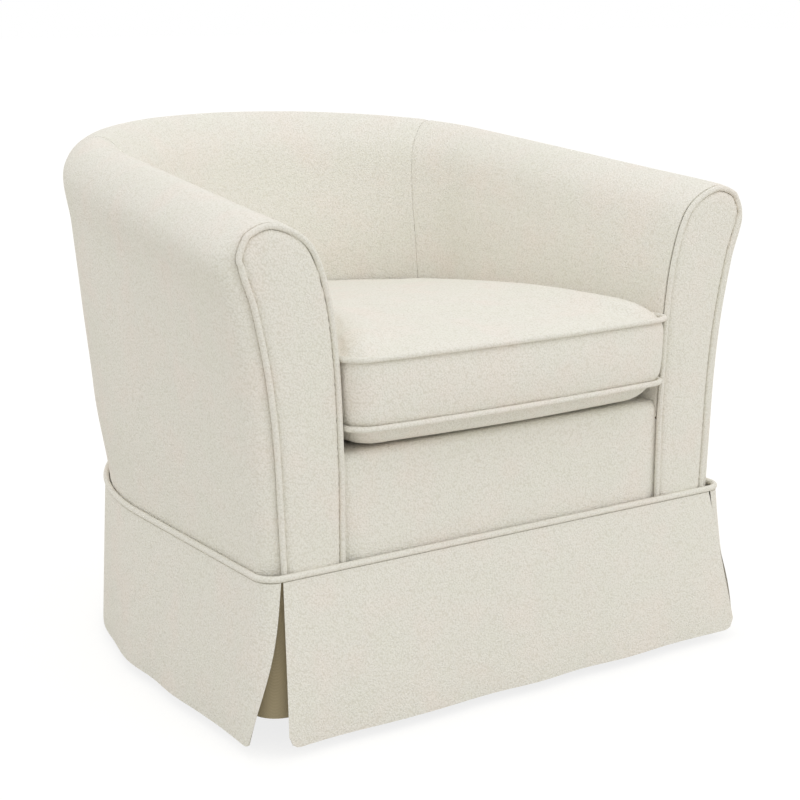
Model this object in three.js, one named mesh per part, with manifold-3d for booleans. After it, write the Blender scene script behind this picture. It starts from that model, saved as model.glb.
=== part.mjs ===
// Swivel barrel chair: a skirted tub on a ball-bearing swivel, with a loose boxed seat cushion.
// Millimetres, +Z up, the front of the chair faces -Y, and the swivel turns about the Z axis.
import * as THREE from 'three';
import { mergeVertices } from 'three/addons/utils/BufferGeometryUtils.js';
import Module from 'manifold-3d';

const wasm = await Module();
wasm.setup();

// Overall sizes
const overallWidth = 790;
const overallDepth = 808;
const rimFrontHeight = 613;
const rimBackHeight = 678;
const seamHeight = 205;
const frameBottom = 93;
const hemHeight = 13;
const deckHeight = 337;

// Plan of the barrel wall, worked inwards from the outermost line of the roll
const armSetBack = 35;
const rollTaper = 43;
const rollReach = 65;
const rollReachRear = 56;
const rollReachBack = 46;
const rollDrop = 41;
const rollDropBack = 38;
const bodyFlare = 47;
const bodyFlareBack = 55;
const armWidth = 90;
const armWidthRear = 68;
const backWidth = 126;
const rimCornerReach = 241;
const rollCornerReach = 299;
const baseCornerReach = 397;
const insideCornerReach = 172;
const baseTuck = 5;
const insideTuck = 20.2;
const edgeRound = 22;
const edgeLength = 30;
const baseRoundingPower = 2;
const rimRoundingPower = 1.87;
const edgeEndShare = 0.08;
const armEndShare = 0.5;
const insideSeamShare = 0.27;
const outsideSeamShare = 0.56;

// Layers of the upholstery
const clothThickness = 2;
const fitGap = 0.4;
const seamGap = 0.5;
const rollPad = 18;
const topPad = 24;
const insidePad = 40;
const padSeamShare = 0.0025;

// Arm fronts
const panelThickness = 8;
const panelEdge = 2.5;
const weltRadius = 4;
const panelGap = 2.2;
const boardThickness = 18;
const boardInset = 10;
const panelLift = 11;

// Plywood and hardwood frame
const plyThickness = 20;
const bottomRingPlay = 0.6;
const bottomRingWidth = 60;
const ringSetBack = 7;
const seatRingInset = 36;
const seatRingWidth = 72;
const ringFrontWidth = 54;
const boardEndInset = 48;
const topRailHalf = 20;
const topRailThickness = 18;
const topRailDrop = 27;
const topRailInset = 4;
const topRailInsetRear = 1;
const railPlay = 0.7;
const postDepth = 22;
const postWidth = 45;
const battenWidth = 60;
const battenHeight = 28;
const battenReach = 70;
const dustInset = 8;
const dustThickness = 0.8;

// Springs and deck
const springCount = 5;
const springEdge = 80;
const springWire = 2;
const springHalfWidth = 18;
const springPitch = 36;
const deckPadThickness = 6.6;
const deckInset = 1.2;

// Front border
const borderRecess = 6;
const borderRound = 12;
const borderLip = 30;

// Skirt
const skirtCloth = 2.4;
const skirtStandOff = 4;
const skirtDrop = 1;
const hemFlare = 32;
const hemFlareBack = 19;
const hemCornerReach = 53;
const hemFrontInset = 26;
const cornerRadius = 24;
const foldDepth = 2.2;
const sideFoldCount = 5;
const frontFoldCount = 4;
const backFoldCount = 4;
const apexGap = 1.5;
const pleatOpening = 46;
const pleatHalfShare = 0.003;
const underlayHalfShare = 0.07;
const underlayCorner = 34;
const underlayReach = 75;
const underlayDrop = 8;
const underlayLift = 27;
const underlayFlare = 6;

// Seat cushion
const cushionProud = 19;
const cushionBow = 6;
const bowShares = [0, 0.35, 0.7];
const bandFoot = 0;
const bandMiddle = 0.5;
const bandTop = 1;
const cushionInset = 3.5;
const cushionSpread = 5;
const cushionBelly = 33;
const cushionBand = 81;
const cushionCrown = 26;
const crownPower = 3;
const bellyPower = 9;
const cushionLean = 8;
const cushionFall = 25;
const cushionBulge = 3;
const cushionCorner = 30;
const weltSeat = 5;
const cushionWelt = 3.6;
const restGap = 0.5;
const zipWidth = 26;
const zipThickness = 1.5;

// Swivel and floor base
const ringRadius = 236;
const ringTube = 12;
const glideHeight = 6;
const glideRadius = 15;
const glideEdge = 1;
const glideCount = 4;
const spiderArmWidth = 36;
const spiderThickness = 6;
const spiderFoot = 40;
const spiderLap = 10;
const weldDepth = 0.5;
const hubRadius = 100;
const hubBore = 24;
const plateSize = 190;
const plateThickness = 2.5;
const plateCorner = 12;
const plateBore = 45;
const trackRadius = 70;
const ballRadius = 4.6;
const ballCount = 12;
const cageThickness = 1.2;
const cageWidth = 5;
const curbWall = 3;
const boltRadius = 4;
const boltHead = 7;
const boltHeadHeight = 5;
const boltSpanX = 150;
const boltLength = 22;
const boltPlay = 0.5;

// Counts of the steps in the curved surfaces
const rearStepCount = 9;
const armStepCount = 4;
const outsideStepCount = 1.5;
const insideStepCount = 1.6;
const frontLineStepCount = 3;
const outlineStepCount = 52;
const weltSideCount = 6;
const roundStepCount = 28;
const boltStepCount = 8;
const bevelStepCount = 1;
const wireSideCount = 5;
const wireStepCount = 3;
const ringSideCount = 8;
const glideStepCount = 12;
const ballSideCount = 6;
const ballRingCount = 4;
const skirtRowCount = 4;
const frontColumnCount = 20;
const sideColumnCount = 24;
const backColumnCount = 22;
const underlayRowCount = 3;
const underlayColumnCount = 9;
const cornerStepCount = 6;
const borderStepCount = 4;
const lineStepCount = 24;
const underlayLineStepCount = 60;
const weltStepCount = 30;
const cushionStepCount = 12;
const zipColumnCount = 3;
const plateCornerStepCount = 3;
const boreStepCount = 20;

// Sizes that follow from the ones above
const rollHalf = overallWidth / 2;
const rollHalfRear = rollHalf - rollTaper;
const backLimit = overallDepth / 2;
const hemFrontY = -backLimit;
const armFrontY = hemFrontY + armSetBack;
const rimHalfFront = rollHalf - rollReach;
const rimHalfRear = rollHalfRear - rollReachRear;
const rimBackY = backLimit - rollReachBack;
const rimCornerY = rimBackY - rimCornerReach;
const rollCornerY = backLimit - rollCornerReach;
const rollFrontHeight = rimFrontHeight - rollDrop;
const rollBackHeight = rimBackHeight - rollDropBack;
const bodyHalf = rollHalf - bodyFlare;
const baseBackY = backLimit - bodyFlareBack;
const baseCornerY = baseBackY - baseCornerReach;
const insideHalf = rimHalfFront - armWidth;
const insideHalfRear = rimHalfRear - armWidthRear;
const insideBackY = rimBackY - backWidth;
const insideCornerY = insideBackY - insideCornerReach;
const insideBottom = deckHeight - insideTuck;
const panelBottom = frameBottom + panelLift;
const bottomRingInset = clothThickness + bottomRingPlay;
const frontBoardHalf = bodyHalf - boardEndInset;
const springReach = insideHalf - springEdge;
const springSpacing = (2 * springReach) / (springCount - 1);
const topRailHalfFront = rimHalfFront - topRailInset;
const topRailHalfRear = rimHalfRear - topRailInsetRear;
const skirtTop = seamHeight - skirtDrop;
const hemHalf = bodyHalf + hemFlare;
const hemBackY = baseBackY + hemFlareBack;
const hemCornerY = baseCornerY - hemCornerReach;
const hemFrontHalf = bodyHalf - hemFrontInset;
const underlayTop = skirtTop - underlayDrop;
const underlayHem = hemHeight + underlayLift;
const cushionFrontY = armFrontY - cushionProud;
const cushionBottomWelt = deckHeight + cushionBelly;
const cushionTopWelt = cushionBottomWelt + cushionBand;

const blend = (a, b, share) => a + (b - a) * share;

// Finishes
const boucle = { color: 0xe3ddd1, roughness: 0.95, metalness: 0 };
const lining = { color: 0x8b8169, roughness: 0.95, metalness: 0 };
const foam = { color: 0xd9cfa8, roughness: 0.9, metalness: 0 };
const plywood = { color: 0xc59a63, roughness: 0.7, metalness: 0 };
const hardwood = { color: 0xb08652, roughness: 0.7, metalness: 0 };
const springSteel = { color: 0x6f7276, roughness: 0.4, metalness: 0.9 };
const zincSteel = { color: 0xa9adb0, roughness: 0.35, metalness: 0.9 };
const blackSteel = { color: 0x1f2022, roughness: 0.5, metalness: 0.6 };
const blackCloth = { color: 0x232323, roughness: 0.95, metalness: 0 };
const nylon = { color: 0x2a2a2a, roughness: 0.6, metalness: 0 };

const chair = new THREE.Group();

function add(name, geometry, finish) {
  const piece = new THREE.Mesh(geometry, new THREE.MeshStandardMaterial(finish));
  piece.name = name;
  chair.add(piece);
  return piece;
}

// Solids from grids and rings

function solidFrom(points, faces) {
  const flat = points.flatMap((p) => [p.x, p.y, p.z]);
  const volume = faces.reduce((sum, [a, b, c]) => {
    const cross = new THREE.Vector3().crossVectors(points[b], points[c]);
    return sum + points[a].dot(cross);
  }, 0);
  const order = volume < 0 ? faces.map(([a, b, c]) => [a, c, b]) : faces;
  const geometry = new THREE.BufferGeometry();
  geometry.setAttribute('position', new THREE.Float32BufferAttribute(flat, 3));
  geometry.setIndex(order.flat());
  return geometry;
}

// A closed solid between two point grids of the same size, such as the two faces of a cloth.
function shell(outer, inner) {
  const rows = outer.length;
  const columns = outer[0].length;
  const points = [...outer.flat(), ...inner.flat()];
  const at = (side, i, j) => side * rows * columns + i * columns + j;
  const faces = [];
  const quad = (a, b, c, d) => faces.push([a, b, c], [a, c, d]);
  for (let i = 0; i + 1 < rows; i += 1) {
    for (let j = 0; j + 1 < columns; j += 1) {
      quad(at(0, i, j), at(0, i, j + 1), at(0, i + 1, j + 1), at(0, i + 1, j));
      quad(at(1, i, j), at(1, i + 1, j), at(1, i + 1, j + 1), at(1, i, j + 1));
    }
    quad(at(0, i, 0), at(0, i + 1, 0), at(1, i + 1, 0), at(1, i, 0));
    quad(at(0, i + 1, columns - 1), at(0, i, columns - 1), at(1, i, columns - 1), at(1, i + 1, columns - 1));
  }
  for (let j = 0; j + 1 < columns; j += 1) {
    quad(at(0, 0, j + 1), at(0, 0, j), at(1, 0, j), at(1, 0, j + 1));
    quad(at(0, rows - 1, j), at(0, rows - 1, j + 1), at(1, rows - 1, j + 1), at(1, rows - 1, j));
  }
  return solidFrom(points, faces);
}

// A closed solid through rings of points, each end closed by a fan about its middle.
function loft(rings) {
  const count = rings[0].length;
  const points = rings.flat();
  const faces = [];
  for (let i = 0; i + 1 < rings.length; i += 1) {
    for (let j = 0; j < count; j += 1) {
      const next = (j + 1) % count;
      const a = i * count + j;
      const b = i * count + next;
      faces.push([a, b, b + count], [a, b + count, a + count]);
    }
  }
  for (const end of [0, rings.length - 1]) {
    const middle = new THREE.Vector3();
    rings[end].forEach((p) => middle.addScaledVector(p, 1 / count));
    const centre = points.push(middle) - 1;
    for (let j = 0; j < count; j += 1) {
      const face = [centre, end * count + j, end * count + ((j + 1) % count)];
      faces.push(end === 0 ? face.reverse() : face);
    }
  }
  return solidFrom(points, faces);
}

function plate(outline, holes, bottom, thickness) {
  const shape = new THREE.Shape(outline);
  holes.forEach((hole) => shape.holes.push(new THREE.Path(hole)));
  const geometry = new THREE.ExtrudeGeometry(shape, { depth: thickness, bevelEnabled: false });
  return geometry.translate(0, 0, bottom);
}

function circle(radius, steps, centreX = 0, centreY = 0) {
  return Array.from({ length: steps }, (_, i) => {
    const angle = (2 * Math.PI * i) / steps;
    return new THREE.Vector2(centreX + radius * Math.cos(angle), centreY + radius * Math.sin(angle));
  });
}

function roundBar(points, radius, sides, steps) {
  const path = new THREE.CatmullRomCurve3(points);
  const section = new THREE.Shape(circle(radius, sides));
  return new THREE.ExtrudeGeometry(section, { steps, extrudePath: path, bevelEnabled: false });
}

// A closed round tube with one ring of its surface at each of the points
function roundLoop(points, radius, sides) {
  const path = new THREE.CatmullRomCurve3(points, true);
  path.getPointAt = path.getPoint;
  path.getTangentAt = path.getTangent;
  return new THREE.TubeGeometry(path, points.length, radius, sides, true);
}

// Joins and cuts

function toSolid(geometry) {
  const bare = new THREE.BufferGeometry();
  bare.setAttribute('position', geometry.getAttribute('position'));
  if (geometry.index) bare.setIndex(geometry.index);
  const merged = mergeVertices(bare, 1e-3);
  return new wasm.Manifold(new wasm.Mesh({
    numProp: 3,
    vertProperties: new Float32Array(merged.attributes.position.array),
    triVerts: new Uint32Array(merged.index.array),
  }));
}

function toGeometry(solid) {
  const mesh = solid.getMesh();
  const geometry = new THREE.BufferGeometry();
  geometry.setAttribute('position', new THREE.Float32BufferAttribute(mesh.vertProperties, 3));
  geometry.setIndex(Array.from(mesh.triVerts));
  return geometry;
}

const cutAway = (geometry, tools) => toGeometry(
  tools.reduce((solid, tool) => solid.subtract(toSolid(tool)), toSolid(geometry)),
);

const joined = (geometries) => toGeometry(
  geometries.slice(1).reduce((solid, other) => solid.add(toSolid(other)), toSolid(geometries[0])),
);

// The same solid on the other side of the chair
function mirrored(geometry) {
  const solid = mergeVertices(new THREE.BufferGeometry()
    .setAttribute('position', geometry.getAttribute('position').clone())
    .setIndex(geometry.index), 1e-3).scale(-1, 1, 1);
  const index = Array.from(solid.index.array);
  for (let i = 0; i < index.length; i += 3) [index[i], index[i + 1]] = [index[i + 1], index[i]];
  return solid.setIndex(index);
}

function addPair(name, geometry, finish) {
  add(`${name}_right`, geometry, finish);
  add(`${name}_left`, mirrored(geometry), finish);
}

// The barrel wall: plan levels from the outside bottom, over the rim, to the inside bottom

const halfAt = (level, y) => blend(
  level.half,
  level.halfRear,
  (y - armFrontY) / (level.cornerY - armFrontY),
);

// A plan level at station u: 0 is the arm front, armEndShare the end of the straight arm and 1 the
// middle of the back. Left stations are negative.
function planPoint(level, u) {
  const side = u < 0 ? -1 : 1;
  const t = Math.abs(u);
  if (t <= armEndShare) {
    const y = t <= edgeEndShare
      ? armFrontY + panelThickness + edgeLength * (t / edgeEndShare)
      : blend(armFrontY + panelThickness + edgeLength, level.cornerY, (t - edgeEndShare) / (armEndShare - edgeEndShare));
    return new THREE.Vector2(side * halfAt(level, y), y);
  }
  const angle = ((t - armEndShare) / (1 - armEndShare)) * (Math.PI / 2);
  const power = 2 / level.roundness;
  const x = level.halfRear * Math.max(Math.cos(angle), 0) ** power;
  const y = level.cornerY + (level.backY - level.cornerY) * Math.sin(angle) ** power;
  return new THREE.Vector2(side * x, y);
}

const rollLevel = {
  half: rollHalf,
  halfRear: rollHalfRear,
  cornerY: rollCornerY,
  backY: backLimit,
  front: rollFrontHeight,
  back: rollBackHeight,
  roundness: rimRoundingPower,
  edge: 1,
};
const seamLevel = {
  half: bodyHalf,
  halfRear: bodyHalf,
  cornerY: baseCornerY,
  backY: baseBackY,
  front: seamHeight,
  back: seamHeight,
  roundness: baseRoundingPower,
  edge: 1,
};
const rimLevel = {
  half: rimHalfFront,
  halfRear: rimHalfRear,
  cornerY: rimCornerY,
  backY: rimBackY,
  front: rimFrontHeight,
  back: rimBackHeight,
  roundness: rimRoundingPower,
  edge: 0.05,
};
const insideLevel = {
  half: insideHalf,
  halfRear: insideHalfRear,
  cornerY: insideCornerY,
  backY: insideBackY,
  front: insideBottom,
  back: insideBottom,
  roundness: baseRoundingPower,
  edge: 0,
};
const bottomLevel = {
  ...seamLevel,
  half: bodyHalf - baseTuck,
  halfRear: bodyHalf - baseTuck,
  backY: baseBackY - baseTuck,
  front: frameBottom,
  back: frameBottom,
};

// Shares of the way from one level to the next main one
function between(from, to, shares) {
  return {
    half: blend(from.half, to.half, shares.front),
    halfRear: blend(from.halfRear, to.halfRear, shares.arm),
    cornerY: blend(from.cornerY, to.cornerY, shares.corner),
    backY: blend(from.backY, to.backY, shares.rear),
    front: blend(from.front, to.front, shares.rise),
    back: blend(from.back, to.back, shares.rise),
    roundness: blend(from.roundness, to.roundness, shares.corner),
    edge: blend(from.edge, to.edge, shares.front),
  };
}

const outsideShares = [
  { rise: 0.34, front: 0.02, arm: 0.3, rear: 0.3, corner: 0.2 },
  { rise: 0.62, front: 0.24, arm: 0.6, rear: 0.62, corner: 0.45 },
  { rise: 0.83, front: 0.62, arm: 0.85, rear: 0.86, corner: 0.75 },
];
const shoulderShares = { rise: 0.76, front: 0.44, arm: 0.42, rear: 0.36, corner: 0.5 };
const insideShares = [
  { rise: 0.095, front: 0.5, arm: 0.56, rear: 0.33, corner: 0.1 },
  { rise: 0.28, front: 0.76, arm: 0.79, rear: 0.56, corner: 0.3 },
  { rise: 0.54, front: 0.92, arm: 0.94, rear: 0.84, corner: 0.65 },
];

const wallLevels = [
  bottomLevel,
  seamLevel,
  ...outsideShares.map((shares) => between(seamLevel, rollLevel, shares)),
  rollLevel,
  between(rollLevel, rimLevel, shoulderShares),
  rimLevel,
  ...insideShares.map((shares) => between(rimLevel, insideLevel, shares)),
  insideLevel,
];
const levelsToSeamCount = 1;
const levelsToCreaseShare = 4.65;
const levelsToRimCount = 7;
const levelsToInsideCount = wallLevels.length - 1;

function levelPoint(level, u) {
  const flat = planPoint(level, u);
  const along = (flat.y - armFrontY) / (rimBackY - armFrontY);
  return new THREE.Vector3(flat.x, flat.y, blend(level.front, level.back, Math.min(along, 1)));
}

// How far the arm's front edge is drawn in by its rounding, y behind the arm front
function edgeDepth(y) {
  const run = Math.max(edgeRound - Math.max(y - armFrontY - panelThickness, 0), 0);
  return edgeRound - Math.sqrt(edgeRound * edgeRound - run * run);
}

// A point of the wall at station u and level v, some depth under its surface. Near the arm front
// the depth is measured square to the arm, so that what starts there starts in one plane.
function wallPoint(u, v, depth) {
  const section = wallSection(u);
  const point = section.getPoint(v / levelsToInsideCount);
  const behind = wallSection(u - nearShare).getPoint(v / levelsToInsideCount);
  const along = (u > nearShare ? point.clone().sub(behind) : new THREE.Vector3(0, 1, 0));
  const normal = new THREE.Vector3().crossVectors(section.getTangent(v / levelsToInsideCount), along).normalize();
  normal.y *= THREE.MathUtils.smoothstep(u, edgeEndShare, armEndShare);
  normal.normalize();
  const low = Math.floor(Math.min(v, levelsToInsideCount - 1));
  const edge = blend(wallLevels[low].edge, wallLevels[low + 1].edge, v - low);
  point.addScaledVector(normal, depth + edge * edgeDepth(point.y));
  if (v > levelsToRimCount) point.z = Math.max(point.z, insideBottom);
  return point;
}

const nearShare = 0.01;
const sectionStore = new Map();

function wallSection(u) {
  if (!sectionStore.has(u)) {
    const points = wallLevels.map((level) => levelPoint(level, u));
    sectionStore.set(u, new THREE.CatmullRomCurve3(points, false, 'centripetal'));
  }
  return sectionStore.get(u);
}

// Stations round the wall, with a pair at the inside seam and another at the outside seam
const insideSeam = blend(armEndShare, 1, insideSeamShare);
const outsideSeam = blend(armEndShare, 1, outsideSeamShare);
const edgeStationShares = [0, 0.15, 0.36, 0.627, 1];
const seamHalfShare = 0.0004;

function levelSteps(from, to, perLevel) {
  const count = Math.max(Math.round((to - from) * perLevel), 1);
  return Array.from({ length: count + 1 }, (_, i) => blend(from, to, i / count));
}

const planStations = [
  ...edgeStationShares.map((share) => share * edgeEndShare),
  ...levelSteps(edgeEndShare, armEndShare, armStepCount / armEndShare).slice(1),
  ...levelSteps(armEndShare, insideSeam, rearStepCount / armEndShare).slice(1),
  ...levelSteps(insideSeam, outsideSeam, rearStepCount / armEndShare).slice(1),
  ...levelSteps(outsideSeam, 1, rearStepCount / armEndShare).slice(1),
];
const onSeam = (u) => [insideSeam, outsideSeam].some((seam) => Math.abs(u - seam) < seamHalfShare);
const wallStations = planStations.flatMap((u) => (onSeam(u) ? [u - seamHalfShare, u + seamHalfShare] : [u]));
const armOf = (seam) => wallStations.filter((u) => u < seam);
const backOf = (seam) => wallStations.filter((u) => u > seam);

const mirrorStations = (stations) => stations.map((u) => -u).reverse();

function backStations(half) {
  return [...half, ...mirrorStations(half).slice(1)];
}

// A layer of the wall between two depths, which may change with the level
function wallLayer(stations, steps, outerDepth, innerDepth) {
  const face = (depth) => stations.map((u) => steps.map((v) => sidePoint(u, v, depth(v))));
  return shell(face(outerDepth), face(innerDepth));
}

// The wall is worked out on the right side and mirrored to the left
function sidePoint(u, v, depth) {
  const point = wallPoint(Math.abs(u), v, depth);
  return new THREE.Vector3(u < 0 ? -point.x : point.x, point.y, point.z);
}

const atDepth = (depth) => () => depth;
const crease = seamGap / edgeLength;
const outsideSteps = [0, ...levelSteps(levelsToSeamCount, levelsToCreaseShare - crease, outsideStepCount)];
const insideSteps = levelSteps(levelsToCreaseShare + crease, levelsToInsideCount, insideStepCount);

const coverLayer = (stations, steps) => wallLayer(stations, steps, atDepth(0), atDepth(clothThickness));

addPair('outside_cover', coverLayer(armOf(outsideSeam), outsideSteps), boucle);
add('outside_cover_back', coverLayer(backStations(backOf(outsideSeam)), outsideSteps), boucle);
addPair('inside_cover_arm', coverLayer(armOf(insideSeam), insideSteps), boucle);
add('inside_cover_back', coverLayer(backStations(backOf(insideSeam)), insideSteps), boucle);

// Arm fronts: the wall's own section, closed along its bottom

const frontLine = levelSteps(0, levelsToInsideCount, frontLineStepCount).map((v) => {
  const p = wallPoint(0, v, 0);
  return new THREE.Vector2(p.x, p.z);
});

// The front outline drawn in by a margin, from the outside bottom over the rim to the inside
function frontOutline(margin, bottom) {
  const last = frontLine.length - 1;
  const drawn = frontLine.map((p, i) => {
    const along = frontLine[Math.min(i + 1, last)].clone().sub(frontLine[Math.max(i - 1, 0)]).normalize();
    return new THREE.Vector2(p.x - along.y * margin, p.y + along.x * margin);
  }).filter((p) => p.y > bottom + fitGap);
  const outer = new THREE.Vector2(drawn[0].x, bottom);
  const inner = new THREE.Vector2(drawn[drawn.length - 1].x, bottom);
  return [outer, ...drawn, inner];
}

// A plate in the XZ plane from its front face backwards
function frontPlate(outline, frontY, thickness, bevel) {
  const shape = new THREE.Shape(outline);
  const options = bevel > 0
    ? { depth: thickness - 2 * bevel, bevelThickness: bevel, bevelSize: bevel, bevelOffset: -bevel, bevelSegments: bevelStepCount }
    : { depth: thickness, bevelEnabled: false };
  const geometry = new THREE.ExtrudeGeometry(shape, options);
  return geometry.rotateX(Math.PI / 2).translate(0, frontY + thickness - bevel, 0);
}

const mirrorX = (points) => points.map((p) => new THREE.Vector2(-p.x, p.y)).reverse();

const weltDepth = weltRadius + fitGap;
const weltBottom = seamHeight + 2 * weltRadius + fitGap;
const panelOutline = frontOutline(2 * weltRadius + panelGap, panelBottom);
const boardOutline = frontOutline(boardInset, frameBottom + plyThickness + fitGap);
const boardFront = armFrontY + panelThickness + fitGap;
const boardBack = boardFront + boardThickness;

const weltRun = frontOutline(weltDepth, weltBottom)
  .map((p) => new THREE.Vector3(p.x, armFrontY + panelThickness - weltRadius - fitGap, p.y));
addPair('arm_front_panel', frontPlate(panelOutline, armFrontY, panelThickness, panelEdge), boucle);
addPair('arm_front_board', frontPlate(boardOutline, boardFront, boardThickness, 0), plywood);
addPair('arm_front_welt', roundBar(weltRun, weltRadius, weltSideCount, outlineStepCount), boucle);

// Plywood rings under the seat, cut to the plan of the wall

// One level of the wall drawn in by a margin, from the right front round the back to the left
function planOutline(level, inset, frontY) {
  const drawn = {
    ...level,
    half: level.half - inset,
    halfRear: level.halfRear - inset,
    backY: level.backY - inset,
  };
  const right = planStations.map((u) => planPoint(drawn, u)).filter((p) => p.y > frontY + fitGap);
  const corner = new THREE.Vector2(halfAt(drawn, frontY), frontY);
  const rounded = [corner, ...right].map((p) => new THREE.Vector2(p.x - edgeDepth(p.y), p.y));
  return [...rounded, ...mirrorX(rounded).slice(1)];
}

const bottomRingFront = boardFront + ringSetBack;
function bottomRingSolid(grow) {
  const hole = planOutline(
    bottomLevel,
    bottomRingInset + bottomRingWidth + grow,
    bottomRingFront + ringFrontWidth + grow,
  );
  const outline = planOutline(bottomLevel, bottomRingInset, bottomRingFront);
  return plate(outline, [hole], frameBottom - grow, plyThickness + 2 * grow);
}
add('bottom_ring', bottomRingSolid(0), plywood);

const frontBoardY = boardBack + fitGap;
const seatRingTop = insideBottom - fitGap;
const frontBoard = new THREE.BoxGeometry(
  2 * frontBoardHalf,
  boardThickness,
  seatRingTop - frameBottom - plyThickness - fitGap,
);
frontBoard.translate(
  0,
  frontBoardY + boardThickness / 2,
  (seatRingTop + frameBottom + plyThickness + fitGap) / 2,
);
add('front_board', frontBoard, plywood);

// Top rail: a flat horseshoe tilted to follow the rim
const rimSlope = (rimBackHeight - rimFrontHeight) / (rimBackY - armFrontY);
const railBottomAt = (y) => rimFrontHeight + rimSlope * (y - armFrontY) - topRailDrop - topRailThickness;

function topRailSolid(grow) {
  const railLevel = { ...rimLevel, half: topRailHalfFront, halfRear: topRailHalfRear };
  const outer = planOutline(railLevel, -topRailHalf - grow, frontBoardY - grow);
  const inner = planOutline(railLevel, topRailHalf + grow, frontBoardY - grow);
  const horseshoe = plate([...outer, ...inner.reverse()], [], -grow, topRailThickness + 2 * grow);
  const places = horseshoe.getAttribute('position');
  for (let i = 0; i < places.count; i += 1) {
    places.setZ(i, places.getZ(i) + railBottomAt(places.getY(i)));
  }
  return horseshoe;
}
add('top_rail', topRailSolid(0), plywood);

// Posts lean from the bottom ring to the underside of the top rail
const postShares = [0.3, 0.66, 0.88];

function postSolid(u, grow) {
  const foot = planPoint({ ...bottomLevel, half: bodyHalf, halfRear: bodyHalf }, u);
  const head = planPoint({ ...rimLevel, half: topRailHalfFront, halfRear: topRailHalfRear }, u);
  const ahead = planPoint(rimLevel, u + nearShare).sub(planPoint(rimLevel, u - nearShare)).normalize();
  const out = new THREE.Vector2(ahead.y, -ahead.x);
  const base = foot.clone().addScaledVector(out, -(bottomRingInset + postDepth));
  const ring = (middle, heightAt) => [[1, 1], [-1, 1], [-1, -1], [1, -1]].map(([a, b]) => {
    const p = middle.clone()
      .addScaledVector(out, a * (postDepth / 2 + grow))
      .addScaledVector(ahead, b * (postWidth / 2 + grow));
    return new THREE.Vector3(p.x, p.y, heightAt(p.y));
  });
  return loft([
    ring(base, () => frameBottom + plyThickness + fitGap),
    ring(head, (y) => railBottomAt(y) - fitGap),
  ]);
}

const postPlaces = postShares.map((share) => blend(edgeEndShare, 1, share));
['post_arm', 'post_corner', 'post_back'].forEach((name, i) => addPair(name, postSolid(postPlaces[i], 0), hardwood));

const seatRingLevel = between(seamLevel, rollLevel, { ...outsideShares[0], rise: 0 });
const seatRingFront = frontBoardY + boardThickness + fitGap;
const postTools = postPlaces.flatMap((u) => [postSolid(u, fitGap), mirrored(postSolid(u, fitGap))]);
const seatRingBlank = plate(
  planOutline(seatRingLevel, seatRingInset, seatRingFront),
  [planOutline(seatRingLevel, seatRingInset + seatRingWidth, seatRingFront + ringFrontWidth)],
  seatRingTop - plyThickness,
  plyThickness,
);
add('seat_ring', cutAway(seatRingBlank, postTools), plywood);

// Foam of the wall, shaped over the top rail
const padOuter = atDepth(clothThickness + fitGap);
const padInner = (v) => {
  const overRim = THREE.MathUtils.mapLinear(Math.min(v, levelsToRimCount), levelsToCreaseShare, levelsToRimCount, rollPad, topPad);
  const downInside = THREE.MathUtils.smoothstep(v, levelsToRimCount + 1, levelsToInsideCount - 1);
  return padOuter(v) + blend(overRim, insidePad, downInside);
};
const armPadStations = armOf(insideSeam)
  .filter((u) => u > edgeStationShares[2] * edgeEndShare)
  .map((u) => Math.min(u, insideSeam - padSeamShare));
const backPadStations = backOf(insideSeam).map((u) => Math.max(u, insideSeam + padSeamShare));
const padTools = [topRailSolid(railPlay), ...postTools];
const padLayer = (stations) => cutAway(wallLayer(stations, insideSteps, padOuter, padInner), padTools);
addPair('arm_pad', padLayer(armPadStations), foam);
add('back_pad', padLayer(backStations(backPadStations)), foam);

// Battens across the bottom ring carry the swivel
const battenHalf = bodyHalf - baseTuck - bottomRingInset - bottomRingWidth / 2;
const boltPlaces = [1, -1].flatMap((a) => [1, -1].map((b) => new THREE.Vector2(a * boltSpanX / 2, b * battenReach)));
for (const [name, side] of [['batten_rear', 1], ['batten_front', -1]]) {
  const outline = [[1, 1], [-1, 1], [-1, -1], [1, -1]].map(([a, b]) => new THREE.Vector2(
    a * battenHalf,
    side * battenReach + b * battenWidth / 2,
  ));
  const holes = boltPlaces.filter((p) => p.y * side > 0).map((p) => circle(boltRadius + boltPlay, boltStepCount, p.x, p.y));
  const blank = plate(outline, holes, frameBottom, battenHeight);
  add(name, cutAway(blank, [bottomRingSolid(fitGap)]), hardwood);
}

// Black cloth closes the frame from below, between the battens and the swivel plate
const dustTop = frameBottom - fitGap;
const dustOutline = planOutline(bottomLevel, dustInset, bottomRingFront);
const dustHoles = boltPlaces.map((p) => circle(boltRadius + boltPlay, boltStepCount, p.x, p.y));
add('dust_cover', plate(dustOutline, dustHoles, dustTop - dustThickness, dustThickness), blackCloth);

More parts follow.
